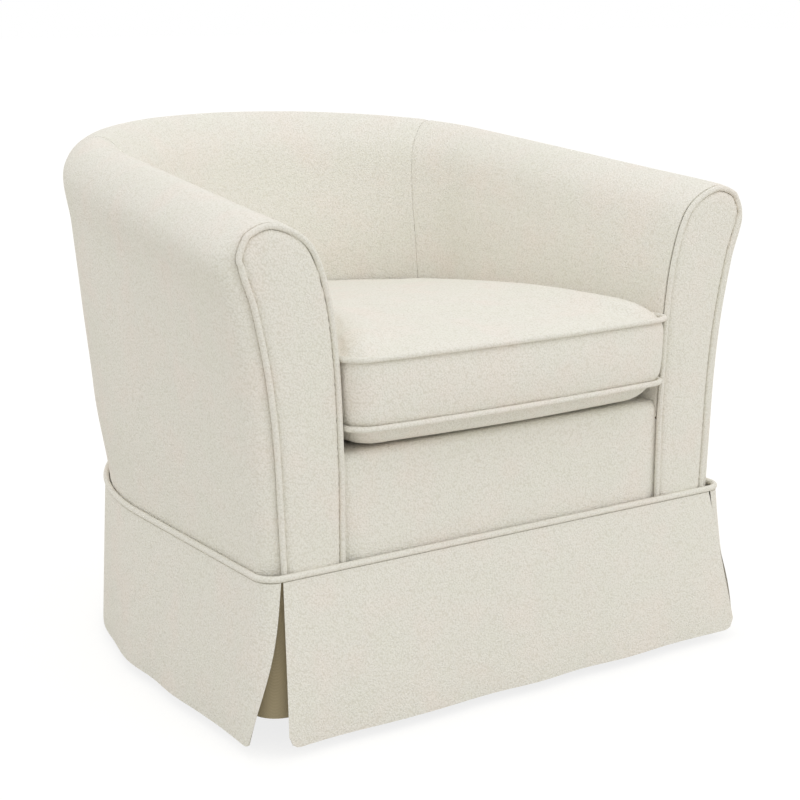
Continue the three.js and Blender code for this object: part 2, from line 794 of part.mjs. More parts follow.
// Zigzag springs arch between the front bar and the back of the seat ring, below the deck pad
const deckPadBottom = deckHeight - clothThickness - fitGap - deckPadThickness;
const springLevel = seatRingTop - plyThickness / 2;
const springRise = deckPadBottom - fitGap - springWire - springLevel;
const backRingEdge = (x) => {
  const half = bodyHalf - seatRingInset - seatRingWidth;
  const reach = seatRingLevel.backY - seatRingInset - seatRingWidth - seatRingLevel.cornerY;
  return seatRingLevel.cornerY + reach * Math.sqrt(1 - (x / half) ** 2);
};
function springSolid(x) {
  const startY = seatRingFront + ringFrontWidth + springWire + fitGap;
  const endY = backRingEdge(Math.abs(x) + springHalfWidth + springWire) - springWire - fitGap;
  const bends = 2 * Math.round((endY - startY) / (2 * springPitch));
  const steps = bends * wireStepCount;
  const points = Array.from({ length: steps + 1 }, (_, i) => {
    const along = i / steps;
    const swing = springHalfWidth * Math.sin(Math.PI * bends * along);
    const rise = springRise * Math.sin(Math.PI * along);
    return new THREE.Vector3(x + swing, blend(startY, endY, along), springLevel + rise);
  });
  return roundBar(points, springWire, wireSideCount, steps);
}
for (let i = 0; i < springCount; i += 1) {
  add(`spring_${i + 1}`, springSolid(-springReach + i * springSpacing), springSteel);
}

// Deck: a thin pad over the springs and the cloth that the cushion lies on
const deckFront = frontBoardY + borderLip;
const deckOutline = planOutline(insideLevel, deckInset, deckFront);
add('deck_pad', plate(deckOutline, [], deckPadBottom, deckPadThickness), foam);
add('deck_cloth', plate(deckOutline, [], deckHeight - clothThickness, clothThickness), boucle);

// Front border: foam over the front board under a cloth that turns back onto the deck
const borderFace = armFrontY + borderRecess;
const borderHalf = deckOutline[0].x;
function borderProfile(inset, bottom, lipBottom) {
  const top = deckHeight - inset;
  const face = borderFace + inset;
  const round = borderRound - inset;
  const corner = Array.from({ length: borderStepCount + 1 }, (_, i) => {
    const angle = (Math.PI / 2) * (i / borderStepCount);
    return new THREE.Vector2(
      face + round - round * Math.cos(angle),
      top - round + round * Math.sin(angle),
    );
  });
  return { start: new THREE.Vector2(face, bottom), corner, end: new THREE.Vector2(deckFront - seamGap, top) };
}
const coverOuter = borderProfile(0, panelBottom);
const coverInner = borderProfile(clothThickness, panelBottom);
const padFace = borderProfile(clothThickness + fitGap, frameBottom + plyThickness + fitGap);
const ridge = (profile) => [profile.start, ...profile.corner, profile.end];
const alongX = (outline, half) => new THREE.ExtrudeGeometry(new THREE.Shape(outline), {
  depth: 2 * half,
  bevelEnabled: false,
}).rotateY(Math.PI / 2).rotateX(Math.PI / 2).translate(-half, 0, 0);
add('front_border_cover', alongX([...ridge(coverOuter), ...ridge(coverInner).reverse()], borderHalf), boucle);
const lipBottom = seatRingTop + fitGap;
const padBack = [
  new THREE.Vector2(deckFront - seamGap, lipBottom),
  new THREE.Vector2(frontBoardY - fitGap, lipBottom),
  new THREE.Vector2(frontBoardY - fitGap, padFace.start.y),
];
add('front_border_pad', alongX([...ridge(padFace), ...padBack], borderHalf - fitGap), foam);

// Skirt: cloth panels that hang from the seam and flare to the hem

const skirtLevel = (margin) => ({
  ...seamLevel,
  half: seamLevel.half + margin,
  halfRear: seamLevel.halfRear + margin,
  backY: seamLevel.backY + margin,
});
const hemLevel = (margin) => ({
  ...seamLevel,
  half: hemHalf + margin,
  halfRear: hemHalf + margin,
  cornerY: hemCornerY,
  backY: hemBackY + margin,
});

// A plan line round the front corner: the front face, a quarter round and the side
function cornerLine(level, frontY, radius, frontReach, sideReach) {
  const half = level.half;
  const turn = Array.from({ length: cornerStepCount + 1 }, (_, i) => {
    const angle = (Math.PI / 2) * (i / cornerStepCount);
    return new THREE.Vector2(
      half - radius + radius * Math.sin(angle),
      frontY + radius - radius * Math.cos(angle),
    );
  });
  return [
    new THREE.Vector2(half - frontReach, frontY),
    ...turn,
    new THREE.Vector2(half, frontY + sideReach),
  ];
}

// The side of a level from some y behind the arm front, round to a station of the back
function sideLine(level, fromY, toStation) {
  const stations = levelSteps(edgeEndShare, toStation, lineStepCount);
  const points = stations.map((u) => planPoint(level, u)).filter((p) => p.y > fromY + cornerRadius);
  return [new THREE.Vector2(halfAt(level, fromY), fromY), ...points];
}

function resampled(points, count) {
  const lengths = [0];
  points.slice(1).forEach((p, i) => lengths.push(lengths[i] + p.distanceTo(points[i])));
  const whole = lengths[lengths.length - 1];
  return Array.from({ length: count + 1 }, (_, i) => {
    const want = (whole * i) / count;
    const k = Math.max(lengths.findIndex((l) => l >= want), 1);
    return points[k - 1].clone().lerp(points[k], (want - lengths[k - 1]) / (lengths[k] - lengths[k - 1]));
  });
}

// A cloth panel between a top line and a hem line, with soft folds that deepen towards the hem
function clothPanel(topLine, hemLine, columns, rows, folds, topZ, hemZ, thickness) {
  const top = resampled(topLine, columns);
  const hem = resampled(hemLine, columns);
  const grids = [0, thickness].map((depth) => top.map((a, i) => {
    const share = i / columns;
    const before = Math.max(i - 1, 0);
    const after = Math.min(i + 1, columns);
    return Array.from({ length: rows + 1 }, (_, j) => {
      const fall = j / rows;
      const along = top[after].clone().lerp(hem[after], fall).sub(top[before].clone().lerp(hem[before], fall));
      const out = new THREE.Vector2(along.y, -along.x).normalize();
      const wave = foldDepth * fall * fall * (1 - Math.cos(2 * Math.PI * folds * share));
      const p = a.clone().lerp(hem[i], fall).addScaledVector(out, -wave - depth);
      return new THREE.Vector3(p.x, p.y, blend(topZ, hemZ, fall));
    });
  }));
  return shell(grids[0], grids[1]);
}

const skirtFace = skirtStandOff + skirtCloth;
const skirtFrontY = armFrontY - skirtFace;
const cornerTop = cornerLine(skirtLevel(skirtFace), skirtFrontY, cornerRadius, pleatOpening, pleatOpening);
const apex = 1;
const apexPoint = cornerTop[apex];
const besideApex = (other) => apexPoint.clone().lerp(
  cornerTop[other],
  apexGap / apexPoint.distanceTo(cornerTop[other]),
);
const rearPleat = outsideSeam;

const frontTopHalf = [...cornerTop.slice(0, apex), besideApex(apex - 1)];
const frontTop = [...mirrorX(frontTopHalf), ...frontTopHalf];
const frontHem = [new THREE.Vector2(-hemFrontHalf, hemFrontY), new THREE.Vector2(hemFrontHalf, hemFrontY)];
add('skirt_front', clothPanel(
  frontTop,
  frontHem,
  frontColumnCount,
  skirtRowCount,
  frontFoldCount,
  skirtTop,
  hemHeight,
  skirtCloth,
), boucle);

const sideTop = [
  besideApex(apex + 1),
  ...cornerTop.slice(apex + 1, -1),
  ...sideLine(skirtLevel(skirtFace), armFrontY + pleatOpening, rearPleat - pleatHalfShare),
];
const sideHem = sideLine(hemLevel(0), armFrontY, rearPleat - pleatHalfShare);
addPair('skirt_side', clothPanel(
  sideTop,
  sideHem,
  sideColumnCount,
  skirtRowCount,
  sideFoldCount,
  skirtTop,
  hemHeight,
  skirtCloth,
), boucle);

const rearLine = (level) => {
  const half = levelSteps(rearPleat + pleatHalfShare, 1, lineStepCount).map((u) => planPoint(level, u));
  return [...half, ...mirrorX(half).slice(1)];
};
add('skirt_back', clothPanel(
  rearLine(skirtLevel(skirtFace)),
  rearLine(hemLevel(0)),
  backColumnCount,
  skirtRowCount,
  backFoldCount,
  skirtTop,
  hemHeight,
  skirtCloth,
), boucle);

// Underlays hang straight behind the open pleats
const underlayOut = fitGap + clothThickness;
const underlayPanel = (line) => clothPanel(
  line(underlayOut),
  line(underlayOut + underlayFlare),
  underlayColumnCount,
  underlayRowCount,
  0,
  underlayTop,
  underlayHem,
  clothThickness,
);
addPair('pleat_underlay_front', underlayPanel((out) => cornerLine(
  skirtLevel(out),
  armFrontY - out,
  underlayCorner,
  underlayReach,
  underlayReach,
)), lining);
addPair('pleat_underlay_rear', underlayPanel((out) => levelSteps(
  rearPleat - underlayHalfShare,
  rearPleat + underlayHalfShare,
  underlayLineStepCount,
).map((u) => planPoint(skirtLevel(out), u))), lining);

// Welt over the skirt seam, round the whole body
const skirtWeltOut = weltRadius + 2 * fitGap;
const skirtWeltZ = skirtTop + weltRadius + fitGap;
const weltCorner = cornerLine(
  skirtLevel(skirtWeltOut),
  armFrontY - skirtWeltOut,
  cornerRadius,
  pleatOpening,
  pleatOpening,
);
const weltSide = [
  ...weltCorner,
  ...levelSteps(edgeEndShare, 1, weltStepCount)
    .map((u) => planPoint(skirtLevel(skirtWeltOut), u))
    .filter((p) => p.y > armFrontY + 2 * pleatOpening),
];
const weltLoop = [...weltSide, ...mirrorX(weltSide).slice(1)]
  .map((p) => new THREE.Vector3(p.x, p.y, skirtWeltZ));
add('skirt_welt', roundLoop(weltLoop, weltRadius, weltSideCount), boucle);

// Seat cushion: a boxed cushion with a crown on top, a belly below and a welt on each edge

// Its plan at some share of the band's height: the sides and the back lean outwards with the wall
function cushionOutline(inset, height) {
  const level = {
    ...insideLevel,
    half: insideHalf - inset + cushionSpread * height,
    halfRear: insideHalfRear - inset,
    backY: insideBackY - inset + cushionLean * height,
  };
  const front = cushionFrontY + inset - cushionInset;
  const straight = level.half - cushionCorner;
  const bow = bowShares.map((share) => new THREE.Vector2(
    straight * share,
    front - cushionBow * (1 - share * share),
  ));
  const corner = cornerLine(level, front, cushionCorner, cushionCorner, 2 * cushionCorner).slice(1);
  const back = levelSteps(edgeEndShare, 1, cushionStepCount)
    .map((u) => planPoint(level, u))
    .filter((p) => p.y > cushionFrontY + 2 * cushionCorner);
  const half = [...bow, ...corner, ...back];
  return [...half, ...mirrorX(half).slice(1, -1)];
}

const cushionRest = deckHeight + restGap;

// The cushion gets lower towards the back, down to where it rests
function fallen(p, z) {
  const share = (p.y - cushionFrontY) / (insideBackY - cushionFrontY);
  return Math.max(z - cushionFall * THREE.MathUtils.clamp(share, 0, 1), cushionRest);
}

// A ring of the cushion drawn in towards its middle by a share
function cushionRing(outline, share, z) {
  const middle = new THREE.Vector2(0, (cushionFrontY + insideBackY) / 2);
  return outline.map((p) => {
    const q = p.clone().lerp(middle, share);
    return new THREE.Vector3(q.x, q.y, fallen(q, z));
  });
}

const belly = cushionBottomWelt - cushionRest;
const crownShares = [0.03, 0.1, 0.22, 0.4, 0.62, 0.85];
const bellyShares = [0.04, 0.1, 0.2, 0.4, 0.7];
const crownRise = (share) => 1 - (1 - share) ** crownPower;
const bellyDrop = (share) => 1 - (1 - share) ** bellyPower;

function cushionSolid() {
  const low = cushionOutline(cushionInset, bandFoot);
  const high = cushionOutline(cushionInset, bandTop);
  const mid = cushionOutline(cushionInset - cushionBulge, bandMiddle);
  const drawnLow = cushionOutline(cushionInset + weltSeat, bandFoot);
  const drawnHigh = cushionOutline(cushionInset + weltSeat, bandTop);
  return loft([
    ...bellyShares.map((share) => cushionRing(drawnLow, share, cushionBottomWelt - belly * bellyDrop(share))).reverse(),
    cushionRing(drawnLow, 0, cushionBottomWelt),
    cushionRing(low, 0, cushionBottomWelt + weltSeat),
    cushionRing(mid, 0, (cushionBottomWelt + cushionTopWelt) / 2),
    cushionRing(high, 0, cushionTopWelt - weltSeat),
    cushionRing(drawnHigh, 0, cushionTopWelt),
    ...crownShares.map((share) => cushionRing(drawnHigh, share, cushionTopWelt + cushionCrown * crownRise(share))),
  ]);
}
add('seat_cushion', cushionSolid(), boucle);

const weltClear = (cushionWelt + fitGap) / Math.SQRT2 - weltSeat / 2;
const cushionWeltLoop = (height, z) => roundLoop(
  cushionOutline(cushionInset - weltClear, height).map((p) => new THREE.Vector3(p.x, p.y, fallen(p, z))),
  cushionWelt,
  weltSideCount,
);
add('seat_cushion_welt_top', cushionWeltLoop(bandTop, cushionTopWelt + weltClear), boucle);
add('seat_cushion_welt_bottom', cushionWeltLoop(bandFoot, cushionBottomWelt - weltClear), boucle);

// Zip along the back of the cushion's band
function zipSolid() {
  const bandHalf = (cushionTopWelt - cushionBottomWelt) / 2;
  const face = (out) => {
    const middle = cushionOutline(cushionInset - cushionBulge - out, bandMiddle);
    const rings = [
      cushionOutline(cushionInset - out, bandFoot),
      middle,
      cushionOutline(cushionInset - out, bandTop),
    ];
    const centre = middle.length / 2;
    const share = zipWidth / 2 / bandHalf;
    return Array.from({ length: 2 * zipColumnCount + 1 }, (_, k) => centre - zipColumnCount + k).map((i) => [-1, 0, 1].map((side) => {
      const p = middle[i].clone().lerp(rings[side + 1][i], Math.abs(side) * share);
      return new THREE.Vector3(p.x, p.y, fallen(p, cushionBottomWelt + bandHalf + side * zipWidth / 2));
    }));
  };
  return shell(face(fitGap + zipThickness), face(fitGap));
}
add('seat_cushion_zip', zipSolid(), blackCloth);

// Floor base: a tube ring on glides, and a spider that lifts the hub plate

const ringZ = glideHeight + fitGap + ringTube;
const ringPoints = circle(ringRadius, roundStepCount).map((p) => new THREE.Vector3(p.x, p.y, ringZ));
add('base_ring', roundLoop(ringPoints, ringTube, ringSideCount), blackSteel);

const glideNames = ['right', 'rear', 'left', 'front'];
for (let i = 0; i < glideCount; i += 1) {
  const angle = (2 * Math.PI * i) / glideCount;
  const profile = [
    [0, 0],
    [glideRadius - glideEdge, 0],
    [glideRadius, glideEdge],
    [glideRadius, glideHeight - glideEdge],
    [glideRadius - glideEdge, glideHeight],
    [0, glideHeight],
  ].map(([r, z]) => new THREE.Vector2(r, z));
  const glide = new THREE.LatheGeometry(profile, glideStepCount).rotateX(Math.PI / 2);
  glide.translate(ringRadius * Math.cos(angle), ringRadius * Math.sin(angle), 0);
  add(`base_glide_${glideNames[i]}`, glide, nylon);
}

const armBottom = ringZ + ringTube + fitGap;
const plateStack = frameBottom - fitGap - dustThickness - fitGap;
const upperTop = plateStack;
const upperBottom = upperTop - plateThickness;
const lowerTop = upperBottom - 2 * ballRadius - 2 * fitGap;
const lowerBottom = lowerTop - plateThickness;
const hubTop = lowerBottom - fitGap;
const hubBottom = hubTop - spiderThickness;

function spiderArm(angle) {
  const outline = [
    [ringRadius + ringTube / 2, armBottom],
    [ringRadius - spiderFoot, armBottom],
    [hubRadius, hubBottom],
    [hubRadius - spiderLap, hubBottom],
    [hubRadius - spiderLap, hubTop],
    [hubRadius, hubTop],
    [ringRadius - spiderFoot, armBottom + spiderThickness],
    [ringRadius + ringTube / 2, armBottom + spiderThickness],
  ].map(([r, z]) => new THREE.Vector2(r, z));
  const arm = new THREE.ExtrudeGeometry(new THREE.Shape(outline), { depth: spiderArmWidth, bevelEnabled: false });
  return arm.rotateX(Math.PI / 2).translate(0, spiderArmWidth / 2, 0).rotateZ(angle);
}
const hubPlate = plate(circle(hubRadius, roundStepCount), [circle(hubBore, boreStepCount)], hubBottom, spiderThickness);
const spiderArms = Array.from({ length: glideCount }, (_, i) => spiderArm((2 * Math.PI * i) / glideCount));
add('base_spider', joined([hubPlate, ...spiderArms]), blackSteel);

// Swivel: two pressed plates, each with a curb that keeps a ring of caged balls between them

function roundedSquare(size, radius) {
  const half = size / 2 - radius;
  return [0, 1, 2, 3].flatMap((quarter) => Array.from({ length: plateCornerStepCount + 1 }, (_, i) => {
    const angle = (Math.PI / 2) * (quarter + i / plateCornerStepCount);
    const cornerX = half * (quarter === 0 || quarter === 3 ? 1 : -1);
    const cornerY = half * (quarter < 2 ? 1 : -1);
    return new THREE.Vector2(cornerX + radius * Math.cos(angle), cornerY + radius * Math.sin(angle));
  }));
}
const pressedPlate = (bottom) => plate(
  roundedSquare(plateSize, plateCorner),
  [circle(plateBore, roundStepCount)],
  bottom,
  plateThickness,
);
const curb = (innerRadius, bottom, height) => plate(
  circle(innerRadius + curbWall, roundStepCount),
  [circle(innerRadius, roundStepCount)],
  bottom,
  height,
);
const trackInner = trackRadius - ballRadius - fitGap - curbWall;
const trackOuter = trackRadius + ballRadius + fitGap;
const curbHeight = 2 * ballRadius - fitGap;
add('swivel_lower_plate', joined([
  pressedPlate(lowerBottom),
  curb(trackInner, lowerTop - weldDepth, curbHeight + weldDepth),
]), zincSteel);

function bolt(place) {
  const head = plate(circle(boltHead, 6, place.x, place.y), [], upperBottom - boltHeadHeight, boltHeadHeight + weldDepth);
  const shank = plate(circle(boltRadius, boltStepCount, place.x, place.y), [], upperBottom, upperTop - upperBottom + boltLength);
  return [head, shank];
}
add('swivel_upper_plate', joined([
  pressedPlate(upperBottom),
  curb(trackOuter, upperBottom - curbHeight, curbHeight + weldDepth),
  ...boltPlaces.flatMap(bolt),
]), zincSteel);

const ballZ = lowerTop + fitGap + ballRadius;
const balls = circle(trackRadius, ballCount)
  .map((p) => new THREE.SphereGeometry(ballRadius, ballSideCount, ballRingCount).translate(p.x, p.y, ballZ));
const cage = plate(
  circle(trackRadius + cageWidth / 2, roundStepCount),
  [circle(trackRadius - cageWidth / 2, roundStepCount)],
  ballZ - cageThickness / 2,
  cageThickness,
);
add('swivel_ball_ring', joined([cage, ...balls]), zincSteel);

export default chair;
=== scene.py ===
"""Swivel barrel chair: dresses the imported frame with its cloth, cords, foam, wood and steel."""
import functools
import math

import bmesh
import bpy
import mathutils
import numpy as np
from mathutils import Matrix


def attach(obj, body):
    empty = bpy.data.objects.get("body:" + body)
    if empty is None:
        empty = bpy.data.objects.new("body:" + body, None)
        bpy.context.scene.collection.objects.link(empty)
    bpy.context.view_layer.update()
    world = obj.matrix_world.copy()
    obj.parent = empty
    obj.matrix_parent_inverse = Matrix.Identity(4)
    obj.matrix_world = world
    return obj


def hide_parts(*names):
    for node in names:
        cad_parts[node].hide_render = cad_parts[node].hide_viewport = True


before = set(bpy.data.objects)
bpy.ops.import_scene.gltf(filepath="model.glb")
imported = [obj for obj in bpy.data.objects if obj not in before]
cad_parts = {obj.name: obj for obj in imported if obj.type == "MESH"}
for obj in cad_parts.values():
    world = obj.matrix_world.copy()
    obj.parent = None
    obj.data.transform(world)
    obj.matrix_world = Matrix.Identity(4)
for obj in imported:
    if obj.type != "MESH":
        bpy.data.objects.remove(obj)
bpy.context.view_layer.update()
MM = 0.001

# Sizes, in millimetres, as the frame has them

OVERALL_DEPTH = 808
RIM_FRONT, RIM_BACK, RIM_REAR_Y = 613, 678, 358
SEAM_HEIGHT, FRAME_BOTTOM, HEM_HEIGHT, DECK_HEIGHT = 205, 93, 13, 337
ARM_FRONT_Y, DECK_FRONT = -369, -312.2
PANEL_THICKNESS, PANEL_BOTTOM = 8, 104
EDGE_ROUND, EDGE_LENGTH = 22, 30
EDGE_END, ARM_END = 0.08, 0.5
INSIDE_SEAM = ARM_END + (1 - ARM_END) * 0.27
OUTSIDE_SEAM = ARM_END + (1 - ARM_END) * 0.56
BODY_HALF = 348
CLOTH = 2
FIT_GAP = 0.4
WELT_RADIUS = 4
INSIDE_BOTTOM = 316.8
SEAM_LEVEL, CREASE_LEVEL, RIM_LEVEL = 1, 4.65, 7


def level(half, half_rear, corner_y, back_y, front, back, power, edge):
    """One plan line of the wall: its half widths, the y where the back's curve starts and its rearmost y, its
    heights at the front and the back, the power of the curve and its share of the edge rounding."""
    return np.array([half, half_rear, corner_y, back_y, front, back, power, edge], float)


ROLL = level(395, 352, 105, 404, 572, 640, 1.87, 1)
SEAM = level(BODY_HALF, BODY_HALF, -48, 349, SEAM_HEIGHT, SEAM_HEIGHT, 2, 1)
RIM = level(330, 296, 117, RIM_REAR_Y, RIM_FRONT, RIM_BACK, 1.87, 0.05)
INSIDE = level(240, 228, 60, 232, INSIDE_BOTTOM, INSIDE_BOTTOM, 2, 0)
BOTTOM = level(343, 343, -48, 344, FRAME_BOTTOM, FRAME_BOTTOM, 2, 1)


def between(low, high, rise, front, arm, rear, corner):
    """A level some shares of the way from one main level to the next."""
    shares = np.array([front, arm, corner, rear, rise, rise, corner, front])
    return low + (high - low) * shares


LEVELS = np.array([
    BOTTOM,
    SEAM,
    between(SEAM, ROLL, 0.34, 0.02, 0.3, 0.3, 0.2),
    between(SEAM, ROLL, 0.62, 0.24, 0.6, 0.62, 0.45),
    between(SEAM, ROLL, 0.83, 0.62, 0.85, 0.86, 0.75),
    ROLL,
    between(ROLL, RIM, 0.76, 0.44, 0.42, 0.36, 0.5),
    RIM,
    between(RIM, INSIDE, 0.095, 0.5, 0.56, 0.33, 0.1),
    between(RIM, INSIDE, 0.28, 0.76, 0.79, 0.56, 0.3),
    between(RIM, INSIDE, 0.54, 0.92, 0.94, 0.84, 0.65),
    INSIDE,
])
LAST_LEVEL = len(LEVELS) - 1
# The edge rounding ends already between the roll and the rim
LEVELS[6, 7] = 0.1


def smoothstep(x, low, high):
    """3t^2 - 2t^3 of the share t of the way from low to high, kept from 0 to 1."""
    t = np.clip((np.asarray(x, float) - low) / (high - low), 0, 1)
    return t * t * (3 - 2 * t)


def unit(vectors):
    """The vectors, each brought to length 1."""
    return vectors / np.linalg.norm(vectors, axis=-1, keepdims=True)


def stacked(*coordinates):
    """Points from their coordinates, each a number or an array, spread to one shape."""
    return np.stack(np.broadcast_arrays(*coordinates), -1)


def half_at(lev, y):
    """The half width of a level at y: straight from the arm front to the corner of the back's curve."""
    return lev[0] + (lev[1] - lev[0]) * (y - ARM_FRONT_Y) / (lev[2] - ARM_FRONT_Y)


def plan_point(lev, u):
    """A level's plan at station u: straight arm up to u 0.5, then the superellipse
    x = h cos(a)^(2/p), y = c + (b - c) sin(a)^(2/p) to the middle of the back at u 1."""
    u = np.asarray(u, float)
    edge_start = ARM_FRONT_Y + PANEL_THICKNESS
    arm_start = edge_start + EDGE_LENGTH
    y_arm = arm_start + (lev[2] - arm_start) * (u - EDGE_END) / (ARM_END - EDGE_END)
    y_side = np.where(u <= EDGE_END, edge_start + EDGE_LENGTH * u / EDGE_END, y_arm)
    angle = np.clip((u - ARM_END) / (1 - ARM_END), 0, 1) * math.pi / 2
    power = 2 / lev[6]
    x_back = lev[1] * np.maximum(np.cos(angle), 0) ** power
    y_back = lev[2] + (lev[3] - lev[2]) * np.sin(angle) ** power
    on_arm = u <= ARM_END
    return np.where(on_arm, half_at(lev, y_side), x_back), np.where(on_arm, y_side, y_back)


def level_points(u):
    """The wall's twelve level points at each station, as an array of stations by levels by xyz."""
    points = []
    for lev in LEVELS:
        x, y = plan_point(lev, u)
        along = np.minimum((y - ARM_FRONT_Y) / (RIM_REAR_Y - ARM_FRONT_Y), 1)
        points.append(stacked(x, y, lev[4] + (lev[5] - lev[4]) * along))
    return np.stack(points, 1)


def section(u, v):
    """Points and tangents of the wall at stations u by levels v: a centripetal Catmull-Rom curve
    through each station's level points."""
    p = level_points(u)
    first, last = 2 * p[:, :1] - p[:, 1:2], 2 * p[:, -1:] - p[:, -2:-1]
    p = np.concatenate([first, p, last], 1)
    knot = np.maximum(((p[:, 1:] - p[:, :-1]) ** 2).sum(-1) ** 0.25, 1e-4)
    low = np.clip(np.floor(v).astype(int), 0, LAST_LEVEL - 1)
    t = (v - low)[None, :, None]
    a, b, c, d = (p[:, low + i] for i in range(4))
    k0, k1, k2 = (knot[:, low + i][..., None] for i in range(3))
    m1 = ((b - a) / k0 - (c - a) / (k0 + k1) + (c - b) / k1) * k1
    m2 = ((c - b) / k1 - (d - b) / (k1 + k2) + (d - c) / k2) * k1
    c2, c3 = -3 * b + 3 * c - 2 * m1 - m2, 2 * b - 2 * c + m1 + m2
    return b + m1 * t + c2 * t ** 2 + c3 * t ** 3, m1 + 2 * c2 * t + 3 * c3 * t ** 2


def edge_depth(y):
    """How far the quarter round of the arm's front edge draws the surface in at y."""
    run = np.maximum(EDGE_ROUND - np.maximum(y - ARM_FRONT_Y - PANEL_THICKNESS, 0), 0)
    return EDGE_ROUND - np.sqrt(EDGE_ROUND ** 2 - run ** 2)


def puff(u, v):
    """How far the filled cover stands out from the frame's wall: 4 to 9 mm over the outside, most at the
    back, and 4 mm over the inside of the arm's front."""
    outside = smoothstep(v, 1, 1.9) * (1 - smoothstep(v, 2.6, 5))
    inside = smoothstep(v, 7, 8) * (1 - smoothstep(v, 8.6, 10.4))
    over_outside = 4 + 5 * smoothstep(u, 0.3, 0.6)
    over_inside = 4 - 4 * smoothstep(u, 0.05, 0.4)
    return over_outside[:, None] * outside + over_inside[:, None] * inside


def wall(u, v, depth=0.0):
    """The wall's surface on the right side, a depth under its outer face, on a grid of stations by levels."""
    u, v = np.asarray(u, float), np.asarray(v, float)
    behind_by = 0.01
    point, tangent = section(u, v)
    along = point - section(u - behind_by, v)[0]
    along[u <= behind_by] = (0, 1, 0)
    normal = unit(np.cross(tangent, along))
    normal[..., 1] *= smoothstep(u, EDGE_END, ARM_END)[:, None]
    low = np.clip(np.floor(v).astype(int), 0, LAST_LEVEL - 1)
    edge = LEVELS[low, 7] + (LEVELS[low + 1, 7] - LEVELS[low, 7]) * (v - low)
    reach = depth + edge[None] * edge_depth(point[..., 1]) - puff(u, v)
    point = point + unit(normal) * reach[..., None]
    inner = v > RIM_LEVEL
    point[:, inner, 2] = np.maximum(point[:, inner, 2], INSIDE_BOTTOM)
    return point


# Meshes from grids

def placed(name, data):
    """A new object of a mesh, a light or a camera."""
    obj = bpy.data.objects.new(name, data)
    bpy.context.scene.collection.objects.link(obj)
    return obj


def shaded(mesh, smooth=True):
    """Shades every face of the mesh smooth, or else flat."""
    mesh.polygons.foreach_set("use_smooth", np.full(len(mesh.polygons), smooth))


def piece_from(name, points, faces, uv=None):
    """A smooth mesh object at the origin from points in millimetres and faces that are wound outwards."""
    mesh = bpy.data.meshes.new(name)
    mesh.from_pydata((np.asarray(points, float) * MM).tolist(), [], faces)
    shaded(mesh)
    if uv is not None:
        corner = np.empty(len(mesh.loops), int)
        mesh.loops.foreach_get("vertex_index", corner)
        mesh.uv_layers.new(name="cloth").data.foreach_set("uv", uv[corner].ravel())
    mesh.validate()
    return placed(name, mesh)


def quads(rows, cols, start=0, wrap=False):
    """The quads of a grid of points, row by row; wrap joins the last row to the first."""
    i, j = np.meshgrid(np.arange(rows if wrap else rows - 1), np.arange(cols - 1), indexing="ij")
    a = start + i * cols + j
    b = start + ((i + 1) % rows) * cols + j
    return np.stack([a, a + 1, b + 1, b], -1).reshape(-1, 4)


def outward(points, faces):
    """The quads as lists, turned round if the closed mesh's signed volume is negative."""
    a, b, c, d = (points[faces[:, k]] for k in range(4))
    volume = (a * np.cross(b, c)).sum() + (a * np.cross(c, d)).sum()
    return (faces if volume > 0 else faces[:, ::-1]).tolist()


def arc(points, axis):
    """Distance along one axis of a line or grid of points, from its first point or line."""
    step = np.linalg.norm(np.diff(points, axis=axis), axis=-1)
    pad = [(0, 0)] * step.ndim
    pad[axis] = (1, 0)
    return np.cumsum(np.pad(step, pad), axis=axis)


def looked_up(want, at, points):
    """The points of a line, given at some places, at the wanted places."""
    return stacked(*(np.interp(want, at, column) for column in np.transpose(points)))


def resampled(points, count):
    """The line with so many points, spread evenly along it."""
    length = arc(points, 0)
    return looked_up(np.linspace(0, length[-1], count), length, points)


def even(points, step):
    """The line with its points evenly spaced by about the step."""
    return resampled(points, int(arc(points, 0)[-1] / step) + 2)


def cloth_shell(name, outer, inner):
    """A closed cloth from an outer and an inner grid: both faces and the strip round their edge."""
    rows, cols = outer.shape[:2]
    points = np.concatenate([outer.reshape(-1, 3), inner.reshape(-1, 3)])
    index = np.arange(rows * cols).reshape(rows, cols)
    rim = np.concatenate([index[0, :-1], index[:-1, -1], index[-1, :0:-1], index[:0:-1, 0]])
    after = np.roll(rim, -1)
    far = rows * cols
    faces = np.concatenate([
        quads(rows, cols),
        quads(rows, cols, far)[:, ::-1],
        np.stack([after, rim, rim + far, after + far], -1),
    ])
    uv = stacked(arc(outer, 0), arc(outer, 1)).reshape(-1, 2) * MM
    return piece_from(name, points, outward(points, faces), np.concatenate([uv, uv]))


def tidy(obj, corners=0, smooth=True):
    """Merges what lies in one place, closes each hole of up to so many corners with one face, and turns the
    faces of the closed mesh outwards."""
    bm = bmesh.new()
    bm.from_mesh(obj.data)
    bmesh.ops.remove_doubles(bm, verts=bm.verts, dist=1e-6)
    if corners:
        bmesh.ops.holes_fill(bm, edges=[e for e in bm.edges if e.is_boundary], sides=corners)
    bmesh.ops.dissolve_degenerate(bm, edges=bm.edges, dist=1e-7)
    bmesh.ops.recalc_face_normals(bm, faces=bm.faces)
    bm.to_mesh(obj.data)
    bm.free()
    shaded(obj.data, smooth)
    return obj


